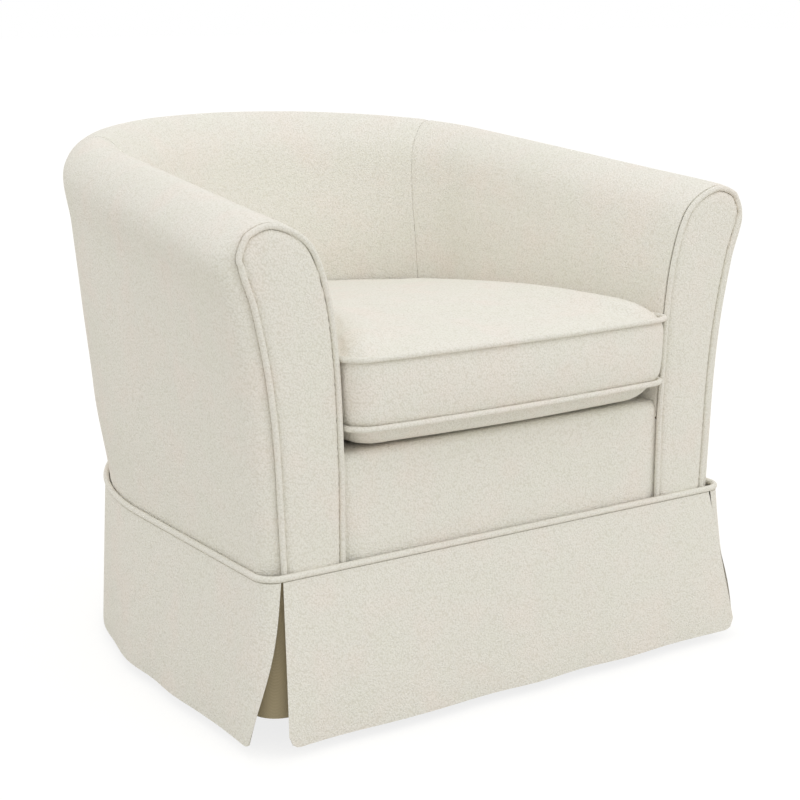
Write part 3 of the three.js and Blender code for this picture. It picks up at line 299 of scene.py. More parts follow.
def tube(name, path, radius, sides=12, closed=False):
    """A round cord: circles of the radius carried along the path and square to it, with flat ends if open."""
    ahead, behind = np.roll(path, -1, 0), np.roll(path, 1, 0)
    if not closed:
        ahead[-1], behind[0] = path[-1], path[0]
    tangent = unit(ahead - behind)
    frames = np.empty_like(path)
    start = np.array([0, 0, 1.0]) if abs(tangent[0, 2]) < 0.9 else np.array([0, 1.0, 0])
    frames[0] = unit(start - tangent[0] * (start @ tangent[0]))
    for i in range(1, len(path)):
        frames[i] = unit(frames[i - 1] - tangent[i] * (frames[i - 1] @ tangent[i]))
    twist = 0.0
    if closed:
        back = frames[-1] - tangent[0] * (frames[-1] @ tangent[0])
        twist = math.atan2(back @ np.cross(tangent[0], frames[0]), back @ frames[0])
    share = np.arange(len(path)) / len(path)
    angle = (np.linspace(0, 2 * math.pi, sides, endpoint=False)[None] - twist * share[:, None])[..., None]
    other = np.cross(tangent, frames)
    ring = path[:, None] + radius * (np.cos(angle) * frames[:, None] + np.sin(angle) * other[:, None])
    ring = np.concatenate([ring, ring[:, :1]], 1)
    round_it = np.linspace(0, 2 * math.pi * radius, sides + 1)
    uv = stacked(arc(path, 0)[:, None], round_it).reshape(-1, 2) * MM
    faces = quads(len(path), sides + 1, wrap=closed).tolist()
    return tidy(piece_from(name, ring.reshape(-1, 3), faces, uv), 0 if closed else sides + 2)


def mirrored(name, obj):
    """A copy of a right-hand piece on the left: x turned to -x and the faces' order turned back."""
    mesh = obj.data.copy()
    mesh.name = name
    mesh.transform(mathutils.Matrix.Diagonal((-1, 1, 1, 1)))
    mesh.flip_normals()
    return placed(name, mesh)


def pair(node, obj):
    """A right-hand piece and its mirror image, by the nodes that they stand for."""
    return {f"{node}_right": obj, f"{node}_left": mirrored(obj.name.replace("_right", "_left"), obj)}


def merged_copy(name, node):
    """A copy of a CAD node's mesh with its loose triangles joined, shaded flat."""
    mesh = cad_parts[node].data.copy()
    mesh.name = name
    mesh.transform(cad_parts[node].matrix_world)
    return tidy(placed(name, mesh), smooth=False)


def ripple(a, b, size, seed=0):
    """A smooth unevenness from -1 to 1: five crossed sine waves, each about as long as the size."""
    total = np.zeros(np.broadcast(a, b).shape)
    for k in range(5):
        turn = 2.4 * k + 1.7 * seed
        wave = 2 * math.pi / (size * (0.7 + 0.17 * k))
        total += np.sin(wave * (a * math.cos(turn) + b * math.sin(turn)) + 1.3 * k + seed)
    return total / 5


def tucked(distance, depth, reach):
    """The drop of a padded edge towards its seam: depth (1 - d / reach)^2 within reach of the seam."""
    return depth * np.clip(1 - distance / reach, 0, 1) ** 2


def rounding(distance, radius):
    """The drop of a rounded edge, as a share of its depth: a quarter ellipse within the radius."""
    return 1 - np.sqrt(1 - np.clip(1 - distance / radius, 0, 1) ** 2)


# The barrel wall's covers, right of the middle or whole, and the foam under those of the inside

def spaced(marks, step):
    """Stations between marks, about evenly spaced by the step."""
    lines = [np.linspace(a, b, max(round((b - a) / step), 1) + 1)[:-1] for a, b in zip(marks, marks[1:])]
    return np.concatenate(lines + [[marks[-1]]])


def whole_back(right):
    """A back panel from its right half: the half and its mirror image, joined at the middle of the back."""
    left = right[::-1] * np.array([-1, 1, 1])
    return np.concatenate([right, left[1:]])


def cover_and_pad(names, u, v, drop, swell, seed, whole=False):
    """A cover of the wall, drawn in by a drop at the seam between arm and back, and uneven by ripple() away
    from its edges. With a second name, also the foam below it, whose inner face is 18 to 24 mm deep over the
    rim and 40 mm down the inside of the wall."""
    flat = wall(u, v)
    along, down = arc(flat, 0), arc(flat, 1)
    calm = smoothstep(along, 10, 60) * smoothstep(down, 6, 40) * smoothstep(down[:, -1:] - down, 6, 40)
    depth = tucked(along if whole else along[-1:] - along, drop, 5)
    depth = depth + swell * calm * (1 + ripple(along, down, 190, seed)) / 2
    shape = whole_back if whole else np.asarray
    cover = cloth_shell(names[0], shape(wall(u, v, depth)), shape(wall(u, v, depth + CLOTH)))
    if len(names) == 1:
        return cover
    keep = slice(1, None) if whole else slice(int(np.searchsorted(u, 0.36 * EDGE_END)), -1)
    over_rim = 18 + 6 * np.clip((v - CREASE_LEVEL) / (RIM_LEVEL - CREASE_LEVEL), 0, 1)
    inner = CLOTH + FIT_GAP + over_rim + (40 - over_rim) * smoothstep(v, RIM_LEVEL + 1, LAST_LEVEL - 1)
    faces = [wall(u[keep], v, depth[keep] + CLOTH + FIT_GAP), wall(u[keep], v, inner)]
    return cover, cloth_shell(names[1], *(shape(face) for face in faces))


CREASE_GAP, SEAM_GAP = 0.0008, 0.0002
INSIDE_V = spaced([CREASE_LEVEL + CREASE_GAP, LAST_LEVEL], 0.07)
OUTSIDE_V = spaced([0, SEAM_LEVEL, CREASE_LEVEL - CREASE_GAP], 0.09)
# The drop at the seam and the swell
INSIDE_PUFF, OUTSIDE_PUFF = (1.3, 1.0), (1.6, 0.8)


def arm_stations(seam):
    """Stations of an arm's cover, from its front edge to its seam with the back."""
    return np.concatenate([spaced([0, EDGE_END], 0.006)[:-1], spaced([EDGE_END, seam - SEAM_GAP], 0.009)])


def back_stations(seam):
    """Stations of the back's cover, from its seam with the arm to the middle."""
    return spaced([seam + SEAM_GAP, 1], 0.009)


inside_arm, arm_foam = cover_and_pad(
    ["inside_arm_right", "arm_foam_right"], arm_stations(INSIDE_SEAM), INSIDE_V, *INSIDE_PUFF, 1)
inside_back, back_foam = cover_and_pad(
    ["inside_back", "back_foam"], back_stations(INSIDE_SEAM), INSIDE_V, *INSIDE_PUFF, 2, whole=True)
outside_arm = cover_and_pad(["outside_arm_right"], arm_stations(OUTSIDE_SEAM), OUTSIDE_V, *OUTSIDE_PUFF, 3)
outside_back = cover_and_pad(
    ["outside_back"], back_stations(OUTSIDE_SEAM), OUTSIDE_V, *OUTSIDE_PUFF, 4, whole=True)
covers = {
    **pair("inside_cover_arm", inside_arm),
    "inside_cover_back": inside_back,
    **pair("outside_cover", outside_arm),
    "outside_cover_back": outside_back,
}
pads = {**pair("arm_pad", arm_foam), "back_pad": back_foam}

# Arm fronts: a padded panel inside a welt

FRONT_CURVE = wall([0.0], np.linspace(0, LAST_LEVEL, 331))[0][:, [0, 2]]
# Round, and as full as the frame's six-sided welt of radius 4
FRONT_WELT = 3.7
ARM_ROUND_Z = 520


def front_outline(margin, bottom):
    """The arm's front outline drawn in by a margin, from the outer bottom round to the inner bottom."""
    along = unit(np.gradient(FRONT_CURVE, axis=0))
    drawn = FRONT_CURVE + margin * stacked(-along[:, 1], along[:, 0])
    drawn = drawn[drawn[:, 1] > bottom + FIT_GAP]
    return np.concatenate([[[drawn[0, 0], bottom]], drawn, [[drawn[-1, 0], bottom]]])


def arm_panel():
    """The arm-front panel: rows by height and columns from the inner to the outer edge, whose face drops
    towards its outline by a quarter ellipse 7 deep and 11 wide, over a slightly crowned middle."""
    outline = front_outline(2 * FRONT_WELT + 0.15, PANEL_BOTTOM)
    top = outline[:, 1].argmax()
    outer, inner = outline[:top + 1], outline[top:][::-1]
    rise = np.sin(np.linspace(0, math.pi / 2, 40))
    straight = np.linspace(PANEL_BOTTOM, ARM_ROUND_Z, 90)[:-1]
    z = np.concatenate([straight, ARM_ROUND_Z + (outline[top, 1] - ARM_ROUND_Z) * rise])
    x_out, x_in = (np.interp(z, side[:, 1], side[:, 0])[:, None] for side in (outer, inner))
    x = x_in + (x_out - x_in) * (1 - np.cos(np.linspace(0, math.pi, 45))) / 2
    z = z[:, None]
    to_edge = stacked(x, z)[:, :, None] - even(outline, 3)
    distance = np.sqrt((to_edge ** 2).sum(-1)).min(-1)
    distance = np.where((x <= x_in + 1e-6) | (x >= x_out - 1e-6), 0, distance)
    y = ARM_FRONT_Y + 7 * rounding(distance, 11) - 1.5 * smoothstep(distance, 5, 35)
    back_y = ARM_FRONT_Y + PANEL_THICKNESS - FIT_GAP
    return tidy(cloth_shell("arm_front_right", stacked(x, y, z), stacked(x, back_y, z)))


fronts = pair("arm_front_panel", arm_panel())
welt_line = even(front_outline(FRONT_WELT + 0.2, SEAM_HEIGHT + 1), 3)
welt_y = ARM_FRONT_Y + PANEL_THICKNESS - FRONT_WELT - 0.2
welts = pair("arm_front_welt", tube("arm_welt_right", np.insert(welt_line, 1, welt_y, axis=1), FRONT_WELT))

# Front border: a padded band under the cushion, whose cloth turns back onto the deck

BORDER_FACE, BORDER_LIP, BORDER_TUCK, BORDER_ROUND = ARM_FRONT_Y + 6, 239.6, 8.4, 12


def border_grid(inset):
    """The border's section in yz, up the face, a quarter round and back along the deck, carried across the
    chair. The face leans 4.5 mm forward towards its foot, and below the inside covers its ends are tucked in
    behind the welts of both arm fronts."""
    turn = np.linspace(0, math.pi / 2, 14)
    face, top, radius = BORDER_FACE + inset, DECK_HEIGHT - inset, BORDER_ROUND - inset
    round_over = stacked(face + radius - radius * np.cos(turn), top - radius + radius * np.sin(turn))
    line = np.concatenate([[[face, PANEL_BOTTOM]], round_over, [[DECK_FRONT - 0.5, top]]])
    y, z = resampled(line, 80).T[:, None]
    end = np.linspace(1, 0.86, 22)
    share = np.concatenate([end, np.linspace(0.84, -0.84, 90), -end[::-1]])
    x = share[:, None] * (BORDER_LIP + BORDER_TUCK * (1 - smoothstep(z, 306, 316.4)))
    lean = 4.5 * (1 - smoothstep(z, 215, 318)) * (1 - smoothstep(np.abs(x), 218, 238))
    depth = 2.2 * smoothstep(np.abs(x), 231, 241.5) + 0.4 * (1 + ripple(x, z, 150, 6)) - lean
    return stacked(x, y + depth * (z < top - 1), z)


border = cloth_shell("front_border", border_grid(0), border_grid(CLOTH))

# Skirt: panels that hang from the seam and flare to the hem, with a pleat open at each front corner

SKIRT_CLOTH, SKIRT_GAP = 2.4, 4
SKIRT_OUT, SKIRT_TOP = SKIRT_GAP + SKIRT_CLOTH, SEAM_HEIGHT - 1
HEM_HALF, HEM_LEFT, HEM_RIGHT = BODY_HALF + 32, BODY_HALF - 8, BODY_HALF + 9
HEM_FRONT_Y, HEM_SIDE_Y, HEM_CORNER_Y, HEM_BACK_Y = -OVERALL_DEPTH / 2, ARM_FRONT_Y - 9, -101, 368
CORNER_RADIUS, PLEAT_OPENING, SLIT, REAR_SLIT = 24, 46, 1.5, 0.003
SKIRT_GROW = np.array([1, 1, 0, 1, 0, 0, 0, 0])
HEM_LINE = level(HEM_HALF, HEM_HALF, HEM_CORNER_Y, HEM_BACK_Y, 0, 0, 2, 1)


def both_halves(half):
    """A plan line that starts or ends in the middle, and its mirror image."""
    return np.concatenate([half, (half[::-1] * [-1, 1])[1:]])


def corner_line(lev, front_y, radius, front_reach, side_reach, start=0, end=90):
    """A plan line round the right front corner: the front, a round from start to end degrees, the side."""
    turn = np.radians(np.linspace(start, end, 25))
    half = lev[0]
    points = [stacked(half - radius + radius * np.sin(turn), front_y + radius - radius * np.cos(turn))]
    if start == 0:
        points.insert(0, [[half - front_reach, front_y]])
    if end == 90:
        points.append([[half, front_y + side_reach]])
    return np.concatenate(points)


def side_line(lev, from_y, to_u):
    """A plan line along the side of a level, from some y to a station of the back."""
    side = stacked(*plan_point(lev, np.linspace(EDGE_END, to_u, 160)))
    return np.concatenate([[[half_at(lev, from_y), from_y]], side[side[:, 1] > from_y + CORNER_RADIUS]])


def rear_line(lev):
    """A plan line round the back between the two rear pleats."""
    return both_halves(stacked(*plan_point(lev, np.linspace(OUTSIDE_SEAM + REAR_SLIT, 1, 120))))


def hung_panel(name, top_line, hem_line, top_z, hem_z, folds, thickness, seed, corner=0, bow=0):
    """A hung cloth: straight lines from the top line to the hem, with folds of
    1.6 f^2 (1 - cos(2 pi n s)) at share s along and f down, uneven by ripple(); its two side edges are soft.
    Its low corners are round by a radius, and its first edge bows out along the cloth, most half way down."""
    columns = int(arc(hem_line, 0)[-1] / 5)
    fall = np.linspace(0, 1, 46)[None, :]
    share = np.linspace(0, 1, columns)[:, None]
    line = resampled(top_line, columns)[:, None] * (1 - fall[..., None])
    line = line + resampled(hem_line, columns)[:, None] * fall[..., None]
    along = unit(np.gradient(line, axis=0))
    out = stacked(along[..., 1], -along[..., 0])
    length = arc(line, 0)
    line = line - along * (bow * np.sin(math.pi * fall) * tucked(length, 1, 90))[..., None]
    wave = 1.6 * fall ** 2 * (1 - np.cos(2 * math.pi * folds * (share + 0.03 * np.sin(9 * share + seed))))
    wave = wave + 0.7 * fall * (1 + ripple(length, 90 * fall, 120, seed))
    to_side = np.minimum(length, length[-1:] - length)
    edge = 0.45 * thickness * rounding(to_side, 3)
    lift = corner * rounding(to_side[:, -1:], max(corner, 1))
    z = top_z + (hem_z + lift - top_z) * fall
    return cloth_shell(name, *(np.concatenate([line - out * depth[..., None], z[..., None]], -1)
                               for depth in (wave + edge, wave + thickness - edge)))


def skirt_panel(name, top, hem, seed, corner=15, bow=0):
    """One panel of the skirt with four folds, from the seam to the hem."""
    return hung_panel(name, top, hem, SKIRT_TOP, HEM_HEIGHT, 4, SKIRT_CLOTH, seed, corner, bow)


skirt_level = SEAM + SKIRT_OUT * SKIRT_GROW
skirt_front_y = ARM_FRONT_Y - SKIRT_OUT
slit_x = skirt_level[0] - CORNER_RADIUS - SLIT
side_top = np.concatenate([
    corner_line(skirt_level, skirt_front_y, CORNER_RADIUS, 0, 0, math.degrees(SLIT / CORNER_RADIUS))[:-1],
    side_line(skirt_level, ARM_FRONT_Y + PLEAT_OPENING, OUTSIDE_SEAM - REAR_SLIT),
])
side_hem = side_line(HEM_LINE, HEM_SIDE_Y, OUTSIDE_SEAM - REAR_SLIT)
side_skirt = skirt_panel("skirt_side_right_hang", side_top, side_hem, 2, bow=8)
skirts = {
    "skirt_front": skirt_panel("skirt_front_hang", [[-slit_x, skirt_front_y], [slit_x, skirt_front_y]],
                               [[-HEM_LEFT, HEM_FRONT_Y], [HEM_RIGHT, HEM_FRONT_Y]], 1),
    **pair("skirt_side", side_skirt),
    "skirt_back": skirt_panel("skirt_back_hang", rear_line(skirt_level), rear_line(HEM_LINE), 3, corner=4),
}

UNDERLAY_TOP, UNDERLAY_HEM = SKIRT_TOP - 1, HEM_HEIGHT + 27
UNDERLAY_RADIUS, UNDERLAY_REACH, UNDERLAY_FLARE, UNDERLAY_SPAN = 34, 75, 6, 0.07


def underlay(name, line, seed):
    """A panel that hangs straight behind an open pleat, from just under the seam; line gives its plan at a
    distance outside the body. Its olive colour is painted shade, standing for the chair's cream cloth in the
    pleat's shadow."""
    out = FIT_GAP + CLOTH
    return hung_panel(name, line(out), line(out + UNDERLAY_FLARE), UNDERLAY_TOP, UNDERLAY_HEM, 0, CLOTH, seed)


def front_underlay_line(out):
    """Round the front corner of the body."""
    lev = SEAM + out * SKIRT_GROW
    return corner_line(lev, ARM_FRONT_Y - out, UNDERLAY_RADIUS, UNDERLAY_REACH, UNDERLAY_REACH)


def rear_underlay_line(out):
    """Across the rear pleat, along the curve of the body."""
    stations = np.linspace(OUTSIDE_SEAM - UNDERLAY_SPAN, OUTSIDE_SEAM + UNDERLAY_SPAN, 60)
    return stacked(*plan_point(SEAM + out * SKIRT_GROW, stations))


front_underlay = underlay("pleat_lining_front_right", front_underlay_line, 5)
rear_underlay = underlay("pleat_lining_rear_right", rear_underlay_line, 7)
underlays = {**pair("pleat_underlay_front", front_underlay), **pair("pleat_underlay_rear", rear_underlay)}

WELT_OUT, WELT_SIDE = WELT_RADIUS + 2 * FIT_GAP, 50
welt_level = SEAM + WELT_OUT * SKIRT_GROW
welt_half = np.concatenate([
    corner_line(welt_level, ARM_FRONT_Y - WELT_OUT, CORNER_RADIUS, welt_level[0], WELT_SIDE)[:-1],
    side_line(welt_level, ARM_FRONT_Y + WELT_SIDE, 1)[1:],
])
welt_plan = both_halves(resampled(welt_half, 260))[:-1]
welt_z = SKIRT_TOP + WELT_RADIUS + FIT_GAP
welts["skirt_welt"] = tube("skirt_cord", np.insert(welt_plan, 2, welt_z, axis=1), WELT_RADIUS, closed=True)

# Seat cushion: a boxed cushion, inflated, with a welt on each edge and a zip at the back

CUSHION_FRONT, CUSHION_BOW, CUSHION_INSET, CUSHION_CORNER = ARM_FRONT_Y - 19, 6, 3.5, 30
LOW_EDGE = DECK_HEIGHT + 33
HIGH_EDGE = LOW_EDGE + 81
SPREAD, LEAN, FALL, BULGE, SEAT_IN = 5, 8, 25, 3, 5
CROWN, CUSHION_REST = 26, DECK_HEIGHT + 0.5
CUSHION_WELT = 3.6
ZIP_HALF, ZIP_TAPE_HALF, ZIP_TAPE_THICKNESS, ZIP_TURNS = 161, 13, 1.5, 110


def cushion_outline(inset, height):
    """The cushion's plan at a share of the band's height: a bowed front, rounded corners and the inside of
    the wall, with its points evenly spread."""
    lev = INSIDE - inset * SKIRT_GROW
    lev[0] += SPREAD * height
    lev[3] += LEAN * height
    front = CUSHION_FRONT + inset - CUSHION_INSET
    share = np.linspace(0, 1, 20)[:-1]
    bow = stacked((lev[0] - CUSHION_CORNER) * share, front - CUSHION_BOW * (1 - share ** 2))
    corner = corner_line(lev, front, CUSHION_CORNER, CUSHION_CORNER, 2 * CUSHION_CORNER)
    side = stacked(*plan_point(lev, np.linspace(EDGE_END, 1, 200)))
    half = np.concatenate([bow, corner, side[side[:, 1] > front + 2 * CUSHION_CORNER]])
    return both_halves(resampled(half, 300))[:-1]


def fall_at(y):
    """How much lower the cushion lies at y than at its front."""
    return FALL * np.clip((y - CUSHION_FRONT) / (INSIDE[3] - CUSHION_FRONT), 0, 1)


def rest_at(y):
    """How low the cushion's underside comes: to the deck, and 7 mm lower in front of the border's edge."""
    return CUSHION_REST - 7 * smoothstep(-y, 366, 378)


def laid(plan, z):
    """A plan line of the cushion at the height z, let down by fall_at() and never under where it rests."""
    height = np.maximum(z - fall_at(plan[:, 1]), rest_at(plan[:, 1]))
    return np.concatenate([plan, height[:, None]], 1)


def cushion_start(crown, bulge):
    """The cushion before it is filled: rings drawn in towards the middle by a share s, whose height is
    edge + crown (1 - (1 - s)^p) above, more at the front than at the back, with p from 5 at the front to
    14 along the sides, and edge - drop (1 - (1 - s)^26) below, laid() down."""
    middle = np.array([0, (CUSHION_FRONT + INSIDE[3]) / 2])
    low, high = (cushion_outline(CUSHION_INSET + SEAT_IN, height) for height in (0, 1))
    rings = []
    for s in np.linspace(1, 0, 30)[1:] ** 1.6:
        plan = low * (1 - s) + middle * s
        rings.append(laid(plan, LOW_EDGE - (LOW_EDGE - rest_at(plan[:, 1])) * (1 - (1 - s) ** 26)))
    for s in np.linspace(0, 1, 12):
        swell = bulge * math.sin(math.pi * s) - SEAT_IN * abs(2 * s - 1) ** 12
        rings.append(laid(cushion_outline(CUSHION_INSET - swell, s), LOW_EDGE + (HIGH_EDGE - LOW_EDGE) * s))
    power = 5 + 9 * smoothstep(np.abs(high[:, 0]), 190, 230)
    for s in np.linspace(0, 1, 30)[1:-1] ** 1.6:
        plan = high * (1 - s) + middle * s
        fuller = 1.45 - 0.75 * smoothstep(plan[:, 1], -240, 120)
        rings.append(laid(plan, HIGH_EDGE + crown * fuller * (1 - (1 - s) ** power)))
    count = len(low)
    points = np.concatenate(rings)
    first = np.arange(len(rings) - 1) * count
    closing = np.stack([first + count - 1, first, first + count, first + 2 * count - 1], -1)
    sides = outward(points, np.concatenate([quads(len(rings), count), closing]))
    ends = [list(range(count))[::-1], list(range(len(points) - count, len(points)))]
    return tidy(piece_from("cushion", points, sides + ends))


def coordinates(mesh):
    """The mesh's vertices as an array, in millimetres."""
    co = np.empty(len(mesh.vertices) * 3)
    mesh.vertices.foreach_get("co", co)
    return co.reshape(-1, 3) / MM


def evaluated(obj):
    """The object with its modifiers at this frame."""
    return obj.evaluated_get(bpy.context.evaluated_depsgraph_get())


def remeshed(obj, size):
    """The same closed form in even quads of the size in millimetres."""
    change = obj.modifiers.new("even", "REMESH")
    change.mode = "VOXEL"
    change.voxel_size = size * MM
    mesh = bpy.data.meshes.new_from_object(evaluated(obj))
    obj.modifiers.clear()
    obj.data = mesh
    shaded(mesh)


def fill_cushion(obj):
    """Fills the cushion by cloth pressure over 20 frames, with the points within 5 mm of its two seams held.
    Then each point's way w is cut to cap tanh(w / cap): the cap is 12 mm on the top, 7 and 3 mm on the band's
    front and on its sides, and 4 mm below. Nothing comes under where the cushion rests."""
    start = coordinates(obj.data)
    to_seam = []
    for height, z in enumerate((LOW_EDGE, HIGH_EDGE)):
        seam = laid(cushion_outline(CUSHION_INSET + SEAT_IN, height), z)
        to_seam.append(np.sqrt(((start[:, None] - seam[None]) ** 2).sum(-1)).min(1))
    group = obj.vertex_groups.new(name="seams")
    group.add(np.flatnonzero(np.minimum(*to_seam) < 5).tolist(), 1.0, "REPLACE")
    cloth = obj.modifiers.new("fill", "CLOTH")
    settings = dict(
        quality=6, mass=0.4, tension_stiffness=18, compression_stiffness=18, shear_stiffness=8,
        bending_stiffness=1.2, use_pressure=True, uniform_pressure_force=4, vertex_group_mass=group.name)
    for key, value in settings.items():
        setattr(cloth.settings, key, value)
    cloth.settings.effector_weights.gravity = 0
    cloth.point_cache.frame_start, cloth.point_cache.frame_end = 1, 20
    for step in range(1, 21):
        bpy.context.scene.frame_set(step)
    filled = evaluated(obj)
    moved = coordinates(filled.to_mesh()) - start
    filled.to_mesh_clear()
    obj.modifiers.clear()
    bpy.context.scene.frame_set(1)
    way = np.linalg.norm(moved, axis=1)
    level_z = start[:, 2] + fall_at(start[:, 1])
    on_band = (level_z > LOW_EDGE - 3) & (level_z < HIGH_EDGE + 1)
    front = start[:, 1] < CUSHION_FRONT + 12
    cap = np.where(on_band, np.where(front, 7, 3), np.where(level_z > HIGH_EDGE, 12, 4))
    final = start + moved * (cap * np.tanh(way / cap) / np.maximum(way, 1e-6))[:, None]
    final[:, 2] = np.maximum(final[:, 2], rest_at(final[:, 1]))
    obj.data.vertices.foreach_set("co", (final * MM).ravel())
    obj.vertex_groups.clear()


cushion = cushion_start(CROWN - 6, 1)
remeshed(cushion, 6)
fill_cushion(cushion)
smooth = cushion.modifiers.new("smooth", "SUBSURF")
smooth.levels = smooth.render_levels = 1
shaded(cushion.data)

cord_out = (CUSHION_WELT + FIT_GAP) / math.sqrt(2) - SEAT_IN / 2
cushion_welts = {}
for side, height, z in (("top", 1, HIGH_EDGE + cord_out), ("bottom", 0, LOW_EDGE - cord_out)):
    loop = laid(cushion_outline(CUSHION_INSET - cord_out, height), z)
    cushion_welts[f"seat_cushion_welt_{side}"] = tube(f"cushion_cord_{side}", loop, CUSHION_WELT, closed=True)


def zip_tape():
    """The zip's tape, 0.4 mm off the back of the band, and the line along its middle."""
    z = (LOW_EDGE + HIGH_EDGE) / 2 + np.linspace(-ZIP_TAPE_HALF, ZIP_TAPE_HALF, 9)
    faces = []
    for out in (FIT_GAP + ZIP_TAPE_THICKNESS, FIT_GAP):
        rows = []
        for share in (z - LOW_EDGE) / (HIGH_EDGE - LOW_EDGE):
            plan = cushion_outline(CUSHION_INSET - BULGE * (1 - abs(2 * share - 1)) - out - 0.6, share)
            back = plan[(plan[:, 1] > 0) & (np.abs(plan[:, 0]) < ZIP_HALF)]
            rows.append(resampled(back[np.argsort(back[:, 0])], 120))
        grid = np.stack(rows, 1)
        faces.append(np.concatenate([grid, (z - fall_at(grid[..., 1]))[..., None]], -1))
    return cloth_shell("zip_strip", *faces), faces[0][:, 4]


zip_strip, zip_line = zip_tape()

# Deck, dust cover and springs

DECK_PAD_LOW, DECK_PAD_HIGH = 328, 334.6
SPRING_FRONT_Y, SPRING_LOW, SPRING_ARCH, SPRING_SWING = -267.4, 306.4, 19.2, 18
SPRING_SPACING, SPRING_PITCH, SPRING_WIRE = 80, 72, 2
DECK_INSET, SEAT_RING_INSET = 1.2, 108


def plan_sheet(name, lev, front_y, low, high):
    """A flat cloth or pad of one plan level, in rows across the chair, between two heights."""
    u = np.concatenate([np.linspace(EDGE_END, ARM_END, 60)[:-1], np.linspace(ARM_END, 1, 60)])
    x, y = plan_point(lev, u)
    kept = y > front_y + 1
    x, y = np.append(half_at(lev, front_y), x[kept]), np.append(front_y, y[kept])
    across = x[:, None] * np.linspace(-1, 1, 61)
    return tidy(cloth_shell(name, *(stacked(across, y[:, None], z) for z in (high, low))))


deck_level = INSIDE - DECK_INSET * SKIRT_GROW
deck_cloth = plan_sheet("deck_cover", deck_level, DECK_FRONT, DECK_HEIGHT - CLOTH, DECK_HEIGHT)
deck_foam = plan_sheet("deck_foam", deck_level, DECK_FRONT, DECK_PAD_LOW, DECK_PAD_HIGH)
dust_cloth = merged_copy("dust_cloth", "dust_cover")
pads["deck_pad"] = deck_foam
pads["front_border_pad"] = merged_copy("border_foam", "front_border_pad")


def spring_path(x):
    """A zigzag spring from the front bar to the ring: x + 18 sin(pi n t) across, arched 19.2 sin(pi t) up."""
    seat = between(SEAM, ROLL, 0, 0.02, 0.3, 0.3, 0.2)
    half, reach = BODY_HALF - SEAT_RING_INSET, seat[3] - SEAT_RING_INSET - seat[2]
    back = seat[2] + reach * math.sqrt(1 - ((abs(x) + SPRING_SWING + SPRING_WIRE) / half) ** 2)
    back -= SPRING_WIRE + FIT_GAP
    bends = 2 * round((back - SPRING_FRONT_Y) / SPRING_PITCH)
    t = np.linspace(0, 1, bends * 14 + 1)
    return stacked(
        x + SPRING_SWING * np.sin(math.pi * bends * t),
        SPRING_FRONT_Y + (back - SPRING_FRONT_Y) * t,
        SPRING_LOW + SPRING_ARCH * np.sin(math.pi * t))


springs = {f"spring_{i}": tube(f"seat_spring_{i}", spring_path(SPRING_SPACING * (i - 3)), SPRING_WIRE, 10)
           for i in range(1, 6)}

# Swivel and base, turned or pressed from steel

RING_RADIUS, RING_TUBE, GLIDE_HEIGHT = 236, 12, 6
RING_Z = GLIDE_HEIGHT + FIT_GAP + RING_TUBE
HUB_LOW, SPIDER_THICKNESS = 70, 6
PLATE_HALF, PLATE_BORE, PLATE_THICKNESS = 95, 45, 2.5
LOWER_PLATE, UPPER_PLATE, CURB_HEIGHT = 76.4, 88.9, 8.8
BALL_Z, BALL_RADIUS, TRACK_RADIUS = 83.9, 4.6, 70


def ring_form(name, points):
    """A closed form from closed sections in a ring."""
    rows, cols = points.shape[:2]
    flat = np.concatenate([points, points[:, :1]], 1).reshape(-1, 3)
    return tidy(piece_from(name, flat, outward(flat, quads(rows, cols + 1, wrap=True))))


def turned(name, profile, centre=(0, 0), sides=96):
    """A turned form: a closed section of radius and height carried round a vertical axis."""
    angle = np.linspace(0, 2 * math.pi, sides, endpoint=False)[:, None]
    r, z = np.asarray(profile, float).T[:, None]
    return ring_form(name, stacked(centre[0] + r * np.cos(angle), centre[1] + r * np.sin(angle), z))


def circle(radius, turn):
    """The points of a circle round (0, 0) at some angles."""
    return stacked(radius * np.cos(turn), radius * np.sin(turn))


def rounded_box(r0, r1, z0, z1, edge, steps=4):
    """A section between two radii and two heights with its four corners rounded."""
    turn = np.linspace(0, math.pi / 2, steps + 1)
    corners = [(r1 - edge, z0 + edge, -math.pi / 2), (r1 - edge, z1 - edge, 0),
               (r0 + edge, z1 - edge, math.pi / 2), (r0 + edge, z0 + edge, math.pi)]
    return np.concatenate([circle(edge, turn + start) + (r, z) for r, z, start in corners])


def joined(name, objs):
    """One piece from several closed forms that are welded or pressed together."""
    bm = bmesh.new()
    for obj in objs:
        bm.from_mesh(obj.data)
        bpy.data.objects.remove(obj)
    mesh = bpy.data.meshes.new(name)
    bm.to_mesh(mesh)
    bm.free()
    if mesh.uv_layers:
        mesh.uv_layers.remove(mesh.uv_layers[0])
    return placed(name, mesh)


def spider_arm(number):
    """A pressed steel arm, 36 wide and 6 thick: from the hub down a ramp to the ring, its bends eased, with a
    rib of 3 (1 + cos) / 2 along its middle."""
    foot = RING_Z + RING_TUBE + FIT_GAP
    line = even([[90, HUB_LOW], [100, HUB_LOW], [RING_RADIUS - 40, foot], [RING_RADIUS + 6, foot]], 2)
    for _ in range(12):
        line[1:-1] = (line[:-2] + line[2:]) / 4 + line[1:-1] / 2
    across = np.linspace(-18, 18, 25)
    way = np.arange(len(line)) * 2.0
    rib = smoothstep(way, 18, 34) * smoothstep(-way, -way[-1] + 14, -way[-1] + 30)
    rise = rib[:, None] * 1.5 * (1 + np.cos(np.clip(across / 8, -1, 1) * math.pi))
    c, s = circle(1, math.pi / 2 * number)
    turned_by = np.array([[c, s, 0], [-s, c, 0], [0, 0, 1]])
    return cloth_shell(f"arm_{number}", *(stacked(line[:, :1], across, line[:, 1:] + lift) @ turned_by
                                          for lift in (SPIDER_THICKNESS + rise, 0 * rise)))


